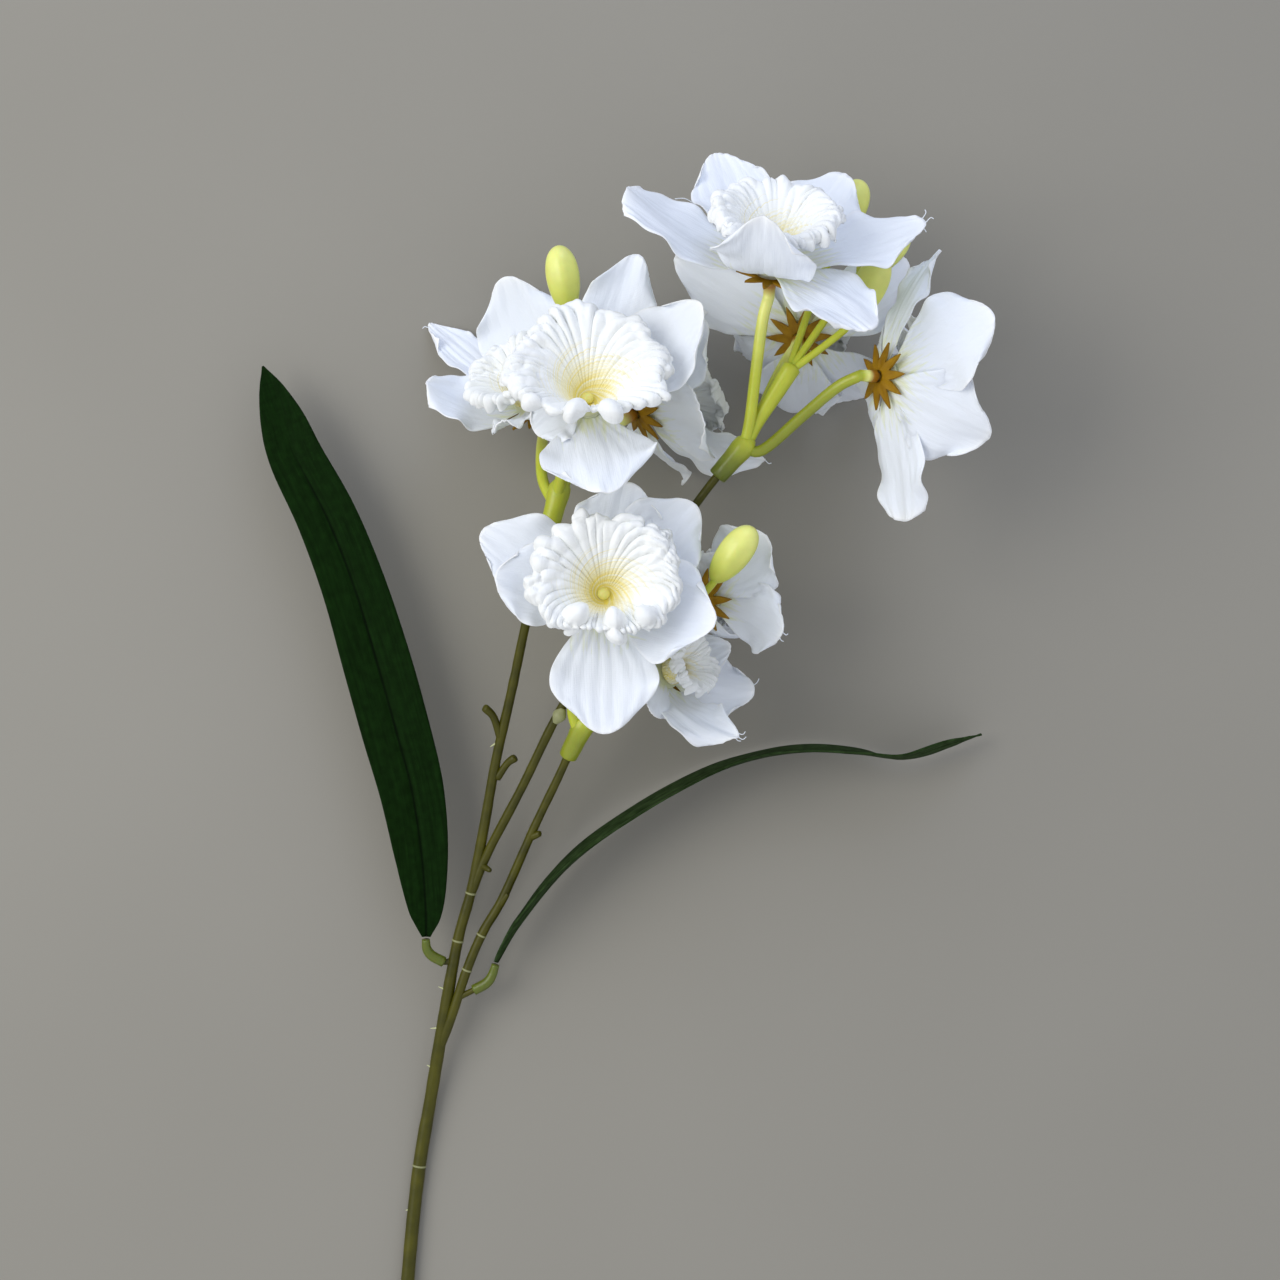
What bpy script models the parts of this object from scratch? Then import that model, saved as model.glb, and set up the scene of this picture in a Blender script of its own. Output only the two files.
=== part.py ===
"""Artificial narcissus spray, lying on its back: one moulded stem with three umbels of three blooms and
three buds, and two silk leaves. Lengths are in millimetres in the named values and metres in the model.

X runs across the spray, Y from the cut end to the top bloom and Z up from the surface that it lies on.
"""

import math

import bmesh
import bpy
from mathutils import Matrix, Vector

MM = 0.001
SPRAY = "narcissus_spray"

# Middle of the spray's outline, which is set over the origin.
OUTLINE_MIDDLE = (-4.7, -85.7)

# Stem moulding: radii of the stem, of its branches at their foot and top, and of a peg. The stem has its
# own radius up to its fourth point and thins from there to the fork.
STEM_RADIUS = 1.85
STEM_SIDES = 8
STEM_FORK_RADIUS = 1.7
FORK_POINT = 7
LEFT_BRANCH_RADIUS = 1.45
LOWER_BRANCH_RADIUS = 1.35
RIGHT_BRANCH_RADIUS = 1.3
BRANCH_END_RADIUS = 1.1
PEG_RADIUS = 1.1
RUN_SIDES = 6

# Umbel moulding: sleeve, flower stalks, column and buds.
SLEEVE_RADIUS = 2.65
SLEEVE_SIDES = 8
SOCKET_DEPTH = 7.0
STALK_RADIUS = 1.5
COLUMN_RADIUS = 1.75
COLUMN_TOP_RADIUS = 2.6
BUD_STALK_RADIUS = 0.95
BUD_STALK_END_RADIUS = 1.1
BUD_STALK_OVERLAP = 2.0
BUD_LENGTH = 18.0
BUD_RADIUS = 4.5
BUD_SWELL = 0.12
STALK_FOOT = 5.0
SPIGOT_RADIUS = 1.0
SPIGOT_HEAD_RADIUS = 1.7

# Silk and the stack of pieces on a spigot, as heights along the bloom's axis.
SILK = 0.7
GAP = 0.3
HUB_SIDES = 8
BORE_RADIUS = (SPIGOT_RADIUS + GAP) / math.cos(math.pi / HUB_SIDES)
STALK_TOP = -3.7
CALYX_BACK = STALK_TOP + GAP
CALYX_FRONT = -1.6
HUB_BACK = -1.3
HUB_FRONT = 1.1
LAYER_STEP = 0.65
CORONA_BASE = HUB_FRONT + GAP + SILK / 2
SPIGOT_HEAD = CORONA_BASE + SILK / 2 + GAP

# Petal, corona and calyx forms.
HUB_RADIUS = 4.2
PETAL_ROOT = 2.6
ROOT_LIFT = math.radians(8.0)
ELBOW_SHARE = 0.48
PETAL_FOOT = 0.15
PETAL_TAPER = 0.8
TIP_ROUND = 0.2
PETAL_CURL = 0.12
PETAL_WAVE = 0.07
PETAL_STEPS = 4
PETAL_COLUMNS = 4
NARROW_PETAL = 17
CORONA_PLEATS = 10
CORONA_LOBES = 6
LOBE_DEPTH = 0.06
CORONA_DISH_RADIUS = 3.4
CALYX_TEETH = 10
CALYX_RADIUS = 9.0
CALYX_WAIST_RADIUS = 4.05
TOOTH_HEIGHT = -1.15
TOOTH_HALF_THICKNESS = 0.3
WAIST_HEIGHT = -2.3
WAIST_HALF_THICKNESS = 0.55
FLOOR_EASE = 0.4


def clear_scene():
    for thing in list(bpy.data.objects):
        bpy.data.objects.remove(thing, do_unlink=True)


def new_collection(name):
    collection = bpy.data.collections.new(name)
    bpy.context.scene.collection.children.link(collection)
    return collection


def plain_material(name, colour, roughness):
    """A Principled material with one colour."""
    made = bpy.data.materials.new(name)
    made.use_nodes = True
    shader = made.node_tree.nodes["Principled BSDF"]
    shader.inputs["Base Color"].default_value = (*colour, 1.0)
    shader.inputs["Roughness"].default_value = roughness
    shader.inputs["Metallic"].default_value = 0.0
    return made


def place(x, y, z):
    """A point of the spray, from millimetres measured on the picture, in the part's frame."""
    return Vector((x - OUTLINE_MIDDLE[0], y - OUTLINE_MIDDLE[1], z)) * MM


def new_object(name, mesh, collection):
    made = bpy.data.objects.new(name, mesh)
    collection.objects.link(made)
    return made


def from_bmesh(name, bm, collection):
    mesh = bpy.data.meshes.new(name)
    bm.to_mesh(mesh)
    bm.free()
    return new_object(name, mesh, collection)


def weld(bm, distance=1e-6):
    bmesh.ops.remove_doubles(bm, verts=bm.verts, dist=distance)


def evaluated_copy(source, name, collection):
    """A mesh object with the source's modifiers applied; the source is removed."""
    graph = bpy.context.evaluated_depsgraph_get()
    mesh = bpy.data.meshes.new_from_object(source.evaluated_get(graph))
    bm = bmesh.new()
    bm.from_mesh(mesh)
    weld(bm)
    bmesh.ops.triangulate(bm, faces=bm.faces)
    bm.to_mesh(mesh)
    bm.free()
    made = new_object(name, mesh, collection)
    made.matrix_world = source.matrix_world
    bpy.data.objects.remove(source, do_unlink=True)
    return made


def tube(name, points, radii, collection, sides=RUN_SIDES):
    """A plastic run through the points, with a radius at each of them and a flat side underneath."""
    curve = bpy.data.curves.new(name, "CURVE")
    curve.dimensions = "3D"
    curve.twist_mode = "Z_UP"
    curve.bevel_depth = 1.0
    curve.bevel_resolution = sides // 2 - 2
    curve.use_fill_caps = True
    spline = curve.splines.new("POLY")
    spline.points.add(len(points) - 1)
    for slot, point, radius in zip(spline.points, points, radii):
        slot.co = (*point, 1.0)
        slot.radius = radius * MM
        slot.tilt = math.pi / sides
    return evaluated_copy(new_object(name, curve, collection), name, collection)


def smooth_route(points, steps):
    """Points along a smooth curve through the given ones, a few to each stretch."""
    ends = [points[0] * 2 - points[1]] + points + [points[-1] * 2 - points[-2]]
    route = []
    for before, start, end, after in zip(ends, ends[1:], ends[2:], ends[3:]):
        for step in range(steps):
            t = step / steps
            route.append(
                0.5
                * (
                    start * 2
                    + (end - before) * t
                    + (before * 2 - start * 5 + end * 4 - after) * t * t
                    + (start * 3 - before - end * 3 + after) * t**3
                )
            )
    route.append(points[-1])
    return route


def tapered(count, start, end):
    return [start + (end - start) * i / (count - 1) for i in range(count)]


def join(name, pieces, material, parts, work, solver="EXACT"):
    """One body from overlapping pieces, by one union on the collection that holds them."""
    body = pieces[0]
    rest = bpy.data.collections.new(name + "_pieces")
    work.children.link(rest)
    for piece in pieces[1:]:
        work.objects.unlink(piece)
        rest.objects.link(piece)
    if pieces[1:]:
        union = body.modifiers.new("union", "BOOLEAN")
        union.operation = "UNION"
        union.operand_type = "COLLECTION"
        union.solver = solver
        union.collection = rest
    made = evaluated_copy(body, name, parts)
    for piece in list(rest.objects):
        bpy.data.objects.remove(piece, do_unlink=True)
    bpy.data.collections.remove(rest)
    made.data.materials.clear()
    made.data.materials.append(material)
    return made


def thickened(name, bm, thickness, collection):
    """A closed blade from an open surface, split into triangles alike on both faces."""
    bmesh.ops.triangulate(bm, faces=bm.faces)
    sheet = from_bmesh(name, bm, collection)
    solid = sheet.modifiers.new("thickness", "SOLIDIFY")
    solid.thickness = thickness * MM
    solid.offset = 0.0
    return evaluated_copy(sheet, name, collection)


class Bloom:
    """Where one bloom sits: its hub, the way that it faces, and its petals and corona."""

    def __init__(self, hub, axis, petals, corona, umbel, stalk):
        self.hub = place(*hub)
        self.axis = Vector(axis).normalized()
        self.petals = petals
        self.corona = corona
        self.umbel = umbel
        self.stalk = [place(*point) for point in stalk]
        low = Vector((0.0, -1.0, 0.0))
        self.low = (low - self.axis * low.dot(self.axis)).normalized()
        self.side = self.axis.cross(self.low)

    def at(self, radius, angle, height):
        """A point at a radius and angle round the axis, and a height along it, in millimetres."""
        spoke = self.low * math.cos(angle) + self.side * math.sin(angle)
        return self.hub + (spoke * radius + self.axis * height) * MM


# Blooms: hub, facing, petal tips with width and twist in degrees, corona rim radius, height and the
# share by which its lower lip is drawn in, and the route of the flower stalk out of the sleeve.
BLOOMS = {
    "right_top": Bloom(
        hub=(33.5, 95, 62),
        axis=(0.05, 0.78, 0.62),
        petals=[
            ((-4, 114, 66), 24, 0),
            ((20, 128.5, 38), 24, 0),
            ((54, 123, 40), 24, 0),
            ((73, 107, 60), 23, 0),
            ((58, 77, 80), 24, 0),
            ((30, 103, 92), 27, 0),
        ],
        corona=(15.0, 15.0, 0.0),
        umbel="right",
        stalk=[(27, 50, 48), (28.5, 57, 50), (30, 70, 53), (31.5, 82, 56)],
    ),
    "right_side": Bloom(
        hub=(64, 68.5, 48),
        axis=(0.82, 0.02, -0.57),
        petals=[
            ((79, 102, 42), 10, 0),
            ((90, 82, 66), 27, 0),
            ((90, 52, 56), 26, 0),
            ((69.5, 31, 44), 20, 0),
            ((71, 56, 16), 22, 0),
            ((77, 79, 18), 18, 0),
        ],
        corona=(14.0, 14.0, 0.0),
        umbel="right",
        stalk=[(27, 50, 48), (32, 49.5, 48), (42, 58, 48.5), (51, 65.5, 50)],
    ),
    "right_back": Bloom(
        hub=(42.5, 81, 34),
        axis=(0.2, 0.5, -0.84),
        petals=[
            ((9, 102.5, 28), 24, 0),
            ((40, 119, 22), 24, 0),
            ((72, 102, 24), 20, 0),
            ((62.5, 68.5, 1.5), 24, 0),
            ((44.5, 63.5, 0.3), 24, 0),
            ((31.5, 78, 2), 22, 0),
        ],
        corona=(12.5, 14.0, 0.0),
        umbel="right",
        stalk=[(27, 50, 47), (31, 58, 44), (35, 67, 42.5), (38.5, 73.5, 41)],
    ),
    "left_front": Bloom(
        hub=(-13.5, 60.5, 58),
        axis=(0.03, 0.5, 0.87),
        petals=[
            ((-8.5, 36.5, 74), 30, 0),
            ((15.5, 85.5, 64), 25, 0),
            ((-0.7, 101, 44), 20, 0),
            ((-8.5, 96, 34), 13, 0),
            ((-32, 75, 58), 20, 0),
            ((-27, 53, 62), 16, 0),
        ],
        corona=(19.0, 13.0, 0.35),
        umbel="left",
        stalk=[(-22, 36.5, 37), (-20.5, 43, 42), (-17, 51, 48)],
    ),
    "left_side": Bloom(
        hub=(-29.5, 64, 24),
        axis=(-0.47, 0.6, 0.65),
        petals=[
            ((-57.5, 68.5, 26), 20, 0),
            ((-58.5, 88, 0.3), 14, 40),
            ((-37, 98.5, 18), 28, 0),
            ((-16, 82, 22), 16, 0),
            ((-23.5, 66, 38), 13, 0),
            ((-37, 57, 40), 13, 0),
        ],
        corona=(11.0, 12.0, 0.0),
        umbel="left",
        stalk=[(-23, 36.5, 36), (-26, 43, 31), (-26.5, 52, 23)],
    ),
    "left_back": Bloom(
        hub=(1, 61.5, 32),
        axis=(0.75, 0.45, -0.45),
        petals=[
            ((16, 58, 57), 31, 0),
            ((33.5, 47.5, 28), 22, 0),
            ((12, 48, 0.5), 22, 0),
            ((2, 74, 3), 22, 0),
            ((-2, 92, 16), 20, 0),
            ((17, 83, 50), 20, 0),
        ],
        corona=(13.0, 14.0, 0.0),
        umbel="left",
        stalk=[(-21.5, 36.5, 36), (-18, 46, 35), (-11, 54, 36)],
    ),
    "lower_front": Bloom(
        hub=(-9.5, 11.5, 54),
        axis=(0.05, 0.15, 0.98),
        petals=[
            ((-9, -24, 62), 28, 0),
            ((19, 4.5, 66), 28, 0),
            ((14.5, 35, 52), 24, 0),
            ((-3, 41, 50), 24, 0),
            ((-41, 28, 52), 22, 0),
            ((-37, 16, 62), 22, 0),
        ],
        corona=(18.0, 12.5, 0.38),
        umbel="lower",
        stalk=[(-16.5, -25, 26), (-18, -18, 30), (-15.5, -8, 38)],
    ),
    "lower_side": Bloom(
        hub=(17.5, 11, 32),
        axis=(0.55, 0.25, -0.8),
        petals=[
            ((33, 27, 46), 22, 0),
            ((37.5, 2, 44), 20, 0),
            ((29.5, 4, 10), 16, 0),
            ((23, 9, 8), 16, 0),
            ((17, 20.5, 10), 18, 0),
            ((18.5, 23, 39), 12, 0),
        ],
        corona=(9.5, 12.0, 0.0),
        umbel="lower",
        stalk=[(-16, -25, 26), (-9, -14.5, 33), (0, -2, 40)],
    ),
    "lower_right": Bloom(
        hub=(6.5, -9, 28),
        axis=(0.75, 0.25, 0.6),
        petals=[
            ((24, -1.5, 27), 15, 0),
            ((31, -13.5, 22), 20, 0),
            ((25.6, -25.6, 44), 16, 50),
            ((3.5, -20, 37), 13, 0),
            ((1, -5.5, 35), 9, 0),
            ((5, 2, 18), 11, 0),
        ],
        corona=(7.5, 10.0, 0.0),
        umbel="lower",
        stalk=[(-15.5, -25, 26), (-9, -20, 25), (-4.5, -15, 23)],
    ),
}

# Umbels: sleeve mouth and top, column, and for each bud its stalk's route and its middle.
UMBELS = {
    "right": {
        "sleeve": [(20, 42.5, 47), (27.5, 51, 48)],
        "column": [(27.5, 51, 48), (30.5, 57, 48), (35, 64, 48), (39.4, 71, 48)],
        "buds": [
            [(44.5, 87, 43), (51, 103, 38), (55.5, 114, 35)],
            [(49, 84.5, 46), (56, 94, 46), (63.5, 101, 45)],
            [(53, 80.5, 49), (57, 86, 50), (59.5, 91.5, 50)],
        ],
    },
    "left": {
        "sleeve": [(-24, 29.5, 36), (-22, 37, 37)],
        "column": [(-22, 37, 37), (-20, 45, 36), (-18.5, 53, 34)],
        "buds": [
            [(-15.5, 62, 40), (-17, 75, 44), (-20, 94, 46)],
            [(-13.5, 63, 24), (-11.5, 72, 15)],
            [(-17, 62, 22), (-21, 70, 11)],
        ],
    },
    "lower": {
        "sleeve": [(-19.5, -31.5, 23), (-16, -24.5, 26)],
        "column": [(-16, -24.5, 26), (-10.5, -13.5, 29), (-5, -3, 32)],
        "buds": [
            [(4, 3, 41), (16, 11.5, 50.5), (24, 22, 54)],
            [(-2, 6, 26), (1, 15, 18)],
            [(-9, 5, 25), (-13, 15, 19)],
        ],
    },
}

# Height of the stem's middle where it lies on a flat of its moulding.
STEM_HEIGHT = STEM_RADIUS * math.cos(math.pi / STEM_SIDES)

# Stem: the run up to the left umbel, the strand to the lower one and the branch to the right one.
MAIN_ROUTE = [
    (-73, -300, STEM_HEIGHT),
    (-69, -240, STEM_HEIGHT),
    (-64.5, -178, STEM_HEIGHT),
    (-61.5, -148, STEM_HEIGHT),
    (-58, -127, 3),
    (-54, -104, 7),
    (-50, -82.5, 10),
    (-46, -68, 12),
    (-42.5, -51, 15),
    (-39, -32.5, 19),
    (-34.5, -13.5, 24),
    (-30, 6.5, 30),
    (-26, 21, 34.5),
    (-24, 29.5, 36),
    (-22.7, 34.4, 36.6),
]
LOWER_ROUTE = [
    (-55.5, -113, 5.5),
    (-52, -104, 8),
    (-47.5, -90.5, 10),
    (-43, -80, 11.5),
    (-37.5, -70.5, 13),
    (-29, -51.5, 17),
    (-22.5, -38, 21),
    (-19.5, -31.5, 23),
    (-17.8, -28.2, 24.5),
]
RIGHT_ROUTE = [
    (-46.5, -70, 11.6),
    (-41.5, -58, 14.5),
    (-32, -40, 20),
    (-21.5, -19, 27),
    (-9.5, 0, 33),
    (2.5, 18.5, 39),
    (15, 36, 45.5),
    (20, 42.5, 47),
    (23.3, 46.2, 47.5),
]
EMPTY_PEGS = [
    [(-37.6, -27, 20.5), (-39.4, -21, 22.5), (-41.5, -18.5, 24)],
    [(-38.8, -37.5, 18), (-36, -33.5, 19.5), (-34, -32, 20.5)],
    [(-29.5, -53.5, 16.6), (-27.2, -52.5, 18.2)],
    [(-38.3, -72.5, 12.7), (-36, -69.2, 14.4)],
    [(-43.2, -61.5, 13.5), (-40.6, -62.8, 16.4)],
]

# Leaf sleeves: where the peg leaves the stem, the sleeve's mouth, and its run to the leaf's base.
LEAF_PEG_ROOTS = {"left": (-51.1, -88, 9.3), "right": (-49.8, -98.2, 8.9)}
LEAF_SLEEVES = {
    "left": [(-53.9, -88.4, 9.6), (-57.2, -86.6, 10.4), (-58.4, -84.6, 11.2), (-58.6, -81.9, 12)],
    "right": [(-45.6, -96.1, 9.3), (-42.2, -94.2, 9.7), (-40.6, -92, 10), (-39.6, -89, 10.6)],
}
LEAF_SLEEVE_RADIUS = 1.9
LEAF_SLEEVE_END_RADIUS = 1.2
LEAF_SOCKET_DEPTH = 3.2
LEAF_PEG_RADIUS = 0.8
LEAF_THICKNESS = 0.8
LEAF_FOLD = 0.08

# Leaves: middle line of the blade, its widths along it, and the way that its width lies.
LEAVES = {
    "left": {
        "line": [
            (-58.5, -81.2, 12.2),
            (-58.5, -73.6, 13.5),
            (-59.6, -58.6, 14.5),
            (-62.1, -41.4, 15),
            (-66.6, -24.3, 15),
            (-71.7, -6, 15),
            (-78, 14.7, 15),
            (-85.3, 33.2, 14.5),
            (-93.6, 49.3, 14),
            (-97.3, 59, 13.5),
            (-100.6, 68.1, 13),
            (-103.3, 75, 12),
        ],
        "widths": [2.4, 9.5, 14.6, 17.5, 18.7, 18.7, 17.5, 16.5, 14.9, 12.6, 7.2, 1.6],
        "across": [(1.0, 0.05, 0.0)] * 12,
    },
    "right": {
        "line": [
            (-39.3, -88.2, 10.8),
            (-32.5, -77, 12.5),
            (-19, -61, 13.5),
            (-0.5, -47.5, 13),
            (18.5, -37, 12),
            (32, -32.2, 11.5),
            (46, -30.3, 11),
            (60, -31, 10.5),
            (72, -32.5, 9.5),
            (84, -29.3, 7.5),
            (94.5, -26, 5),
        ],
        "widths": [2.4, 9.0, 14.0, 17.5, 19.0, 19.0, 18.0, 16.0, 12.5, 8.5, 2.0],
        "across": [
            *[(0.03, -0.08, 1.0)] * 5,
            *[(0.0, -0.03, 1.0)] * 3,
            (-0.05, 0.1, 1.0),
            *[(-0.1, 0.3, 1.0)] * 2,
        ],
    },
}


def above_floor(spot):
    """The point, eased up where it would come near or under the surface that the spray lies on."""
    rise = spot.z / MM - SILK / 2
    spot.z = (SILK / 2 + 0.5 * (rise + math.hypot(rise, FLOOR_EASE))) * MM
    return spot


def bezier(start, middle, end, t):
    return start * (1 - t) ** 2 + middle * 2 * t * (1 - t) + end * t * t


def petal_surface(bloom, tip, width, twist, index):
    """A function of share along and across that gives a point of one petal's middle surface."""
    tip = place(*tip)
    reach = tip - bloom.hub
    flat = reach - bloom.axis * reach.dot(bloom.axis)
    spoke = flat.normalized()
    layer = bloom.axis * (LAYER_STEP * MM if index % 2 else -LAYER_STEP * MM)
    root = bloom.hub + spoke * PETAL_ROOT * MM + layer
    out = spoke * math.cos(ROOT_LIFT) + bloom.axis * math.sin(ROOT_LIFT)
    elbow = root + out * reach.length * ELBOW_SHARE
    half = width / 2 * MM

    def point(u, v):
        along = u * (1 - TIP_ROUND * v * v * u * u)
        centre = bezier(root, elbow, tip, along)
        before, after = (bezier(root, elbow, tip, share) for share in (along - 0.01, along + 0.01))
        ahead = (after - before).normalized()
        across = ahead.cross(bloom.axis).normalized()
        across.rotate(Matrix.Rotation(math.radians(twist) * u, 3, ahead))
        front = across.cross(ahead)
        wide = half * (PETAL_FOOT + (1 - PETAL_FOOT) * math.sin(PETAL_TAPER * math.pi * u) ** 1.2)
        curl = PETAL_CURL * wide * v * v * math.sin(math.pi * u)
        wave = PETAL_WAVE * wide * v * math.sin(2.2 * math.pi * u + 2.1 * index)
        return above_floor(centre + across * wide * v + front * (curl + wave))

    return point


def petal(name, bloom, tip, width, twist, index, work):
    surface = petal_surface(bloom, tip, width, twist, index)
    bm = bmesh.new()
    columns = PETAL_COLUMNS if width > NARROW_PETAL else PETAL_COLUMNS // 2
    bmesh.ops.create_grid(bm, x_segments=PETAL_STEPS, y_segments=columns, size=0.5)
    for vert in bm.verts:
        vert.co = surface(vert.co.x + 0.5, vert.co.y * 2)
    return thickened(name, bm, SILK, work)


def spun_profile(bm, bloom, corners, sides):
    """Rings of a closed profile turned round the bloom's axis, joined to a solid of revolution."""
    rings = []
    for radius, height in corners:
        ring = [bm.verts.new(bloom.at(radius, math.tau * i / sides, height)) for i in range(sides)]
        rings.append(ring)
    for ring, following in zip(rings, rings[1:] + rings[:1]):
        for i in range(sides):
            j = (i + 1) % sides
            bm.faces.new((ring[i], ring[j], following[j], following[i]))
    bmesh.ops.recalc_face_normals(bm, faces=bm.faces)


def petals(name, bloom, material, parts, work):
    """Six silk petals joined at a ring, with a hole for the spigot."""
    bm = bmesh.new()
    corners = [
        (BORE_RADIUS, HUB_BACK),
        (HUB_RADIUS, HUB_BACK),
        (HUB_RADIUS, HUB_FRONT),
        (BORE_RADIUS, HUB_FRONT),
    ]
    spun_profile(bm, bloom, corners, HUB_SIDES)
    pieces = [from_bmesh(name + "_hub", bm, work)]
    for index, (tip, width, twist) in enumerate(bloom.petals):
        pieces.append(petal(f"{name}_{index}", bloom, tip, width, twist, index, work))
    return join(name, pieces, material, parts, work, "MANIFOLD")


def corona(name, bloom, material, parts, work):
    """The pleated trumpet: a dished base with a hole, a funnel and a flared rim."""
    rim, height, drawn_in = bloom.corona
    rows = [
        (BORE_RADIUS, 0.0, 0.0),
        (CORONA_DISH_RADIUS, 0.6, 0.2),
        (0.55 * rim, 0.68 * height, 0.7),
        (rim, height, 1.2),
    ]
    sides = 2 * CORONA_PLEATS
    bm = bmesh.new()
    bmesh.ops.create_grid(bm, x_segments=sides, y_segments=len(rows) - 1, size=0.5)
    for vert in bm.verts:
        angle = (vert.co.x + 0.5) * math.tau
        radius, rise, pleat = rows[round((vert.co.y + 0.5) * (len(rows) - 1))]
        share = radius / rim
        fold = pleat * math.cos(CORONA_PLEATS * angle)
        lobe = LOBE_DEPTH * rim * share**2 * math.cos(CORONA_LOBES * angle)
        lip = 1 - drawn_in * share * max(0.0, math.cos(angle)) ** 2
        spread = (radius + lobe) * lip + 0.3 * fold
        vert.co = above_floor(bloom.at(spread, angle, CORONA_BASE + rise + fold))
    weld(bm)
    made = thickened(name + "_sheet", bm, SILK, work)
    return join(name, [made], material, parts, work)


def calyx(name, bloom, material, parts, work):
    """The star under the petals: a cone round the spigot that ends in pointed teeth."""
    sides = 2 * CALYX_TEETH
    bm = bmesh.new()
    rings = []
    for inner_height, face in ((CALYX_BACK, -1.0), (CALYX_FRONT, 1.0)):
        angles = [math.tau * i / sides for i in range(sides)]
        inside = [bm.verts.new(bloom.at(BORE_RADIUS, angle, inner_height)) for angle in angles]
        outside = []
        for i, angle in enumerate(angles):
            tooth = i % 2
            radius = CALYX_RADIUS if tooth else CALYX_WAIST_RADIUS
            height = WAIST_HEIGHT + WAIST_HALF_THICKNESS * face
            if tooth:
                height = TOOTH_HEIGHT + TOOTH_HALF_THICKNESS * face
            outside.append(bm.verts.new(bloom.at(radius, angle, height)))
        rings.append((inside, outside))
    (back_in, back_out), (front_in, front_out) = rings
    for i in range(sides):
        j = (i + 1) % sides
        bm.faces.new((back_in[i], back_in[j], back_out[j], back_out[i]))
        bm.faces.new((front_in[i], front_out[i], front_out[j], front_in[j]))
        bm.faces.new((back_out[i], back_out[j], front_out[j], front_out[i]))
        bm.faces.new((back_in[i], front_in[i], front_in[j], back_in[j]))
    bmesh.ops.recalc_face_normals(bm, faces=bm.faces)
    return join(name, [from_bmesh(name + "_star", bm, work)], material, parts, work)


def flower_stalk(name, bloom, work):
    """A stalk from the sleeve to the back of a bloom, with the spigot and its head."""
    foot = bloom.hub + bloom.axis * (STALK_TOP - STALK_FOOT) * MM
    route = smooth_route(bloom.stalk + [foot], 2)[:-2] + [foot]
    radii = [STALK_RADIUS] * len(route)
    for height, radius in (
        (STALK_TOP - 0.1, STALK_RADIUS),
        (STALK_TOP, SPIGOT_RADIUS),
        (SPIGOT_HEAD, SPIGOT_RADIUS),
        (SPIGOT_HEAD + 0.3, SPIGOT_HEAD_RADIUS),
        (SPIGOT_HEAD + 1.6, 0.7 * SPIGOT_HEAD_RADIUS),
    ):
        route.append(bloom.hub + bloom.axis * height * MM)
        radii.append(radius)
    return tube(name, route, radii, work)


def bud(name, root, points, work):
    """A bud on its stalk: a long egg along the stalk's last stretch."""
    route = [root] + [place(*point) for point in points]
    stalk = tube(name + "_stalk", route, tapered(len(route), BUD_STALK_RADIUS, BUD_STALK_END_RADIUS), work)
    heading = (route[-1] - route[-2]).normalized()
    bm = bmesh.new()
    bmesh.ops.create_uvsphere(bm, u_segments=8, v_segments=5, radius=1.0)
    turn = heading.to_track_quat("Z", "Y").to_matrix()
    for vert in bm.verts:
        stretch = vert.co.z
        girth = BUD_RADIUS * (1.0 + BUD_SWELL * stretch)
        local = Vector((vert.co.x * girth, vert.co.y * girth, stretch * BUD_LENGTH / 2))
        vert.co = route[-1] + turn @ local * MM
    return [stalk, from_bmesh(name + "_egg", bm, work)]


def socket_sleeve(name, mouth, along, sizes, work):
    """A turned sleeve with a blind socket, from its mouth along a direction."""
    bore, depth, radius, top_radius, length = sizes
    profile = [
        (0.0, depth),
        (bore, depth),
        (bore, 0.0),
        (radius, 0.0),
        (top_radius, length),
        (0.0, length + 0.3),
    ]
    turn = along.to_track_quat("Z", "Y").to_matrix()
    bm = bmesh.new()
    points = [bm.verts.new(mouth + turn @ Vector((out, 0.0, height)) * MM) for out, height in profile]
    edges = [bm.edges.new(pair) for pair in zip(points, points[1:])]
    bmesh.ops.spin(
        bm, geom=points + edges, cent=mouth, axis=along, angle=math.tau, steps=SLEEVE_SIDES, use_merge=True
    )
    weld(bm)
    bmesh.ops.recalc_face_normals(bm, faces=bm.faces)
    return from_bmesh(name, bm, work)


def umbel(side, material, parts, work):
    """Sleeve with a socket for the branch, flower stalks, column and buds, moulded as one."""
    plan = UMBELS[side]
    mouth, top = (place(*point) for point in plan["sleeve"])
    along = (top - mouth).normalized()
    bore = (BRANCH_END_RADIUS + GAP) / math.cos(math.pi / SLEEVE_SIDES)
    length = (top - mouth).length / MM + 1.0
    sizes = (bore, SOCKET_DEPTH, SLEEVE_RADIUS, 1.15 * SLEEVE_RADIUS, length)
    pieces = [socket_sleeve(side + "_sleeve", mouth, along, sizes, work)]
    column = [place(*point) for point in plan["column"]]
    radii = tapered(len(column), COLUMN_RADIUS, COLUMN_TOP_RADIUS)
    pieces.append(tube(side + "_column", column, radii, work))
    root = column[-1] + (column[-2] - column[-1]).normalized() * BUD_STALK_OVERLAP * MM
    for index, points in enumerate(plan["buds"]):
        pieces += bud(f"{side}_bud_{index}", root, points, work)
    for name, bloom in BLOOMS.items():
        if bloom.umbel == side:
            pieces.append(flower_stalk(name + "_stalk", bloom, work))
    return join("umbel_" + side, pieces, material, parts, work)


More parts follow.
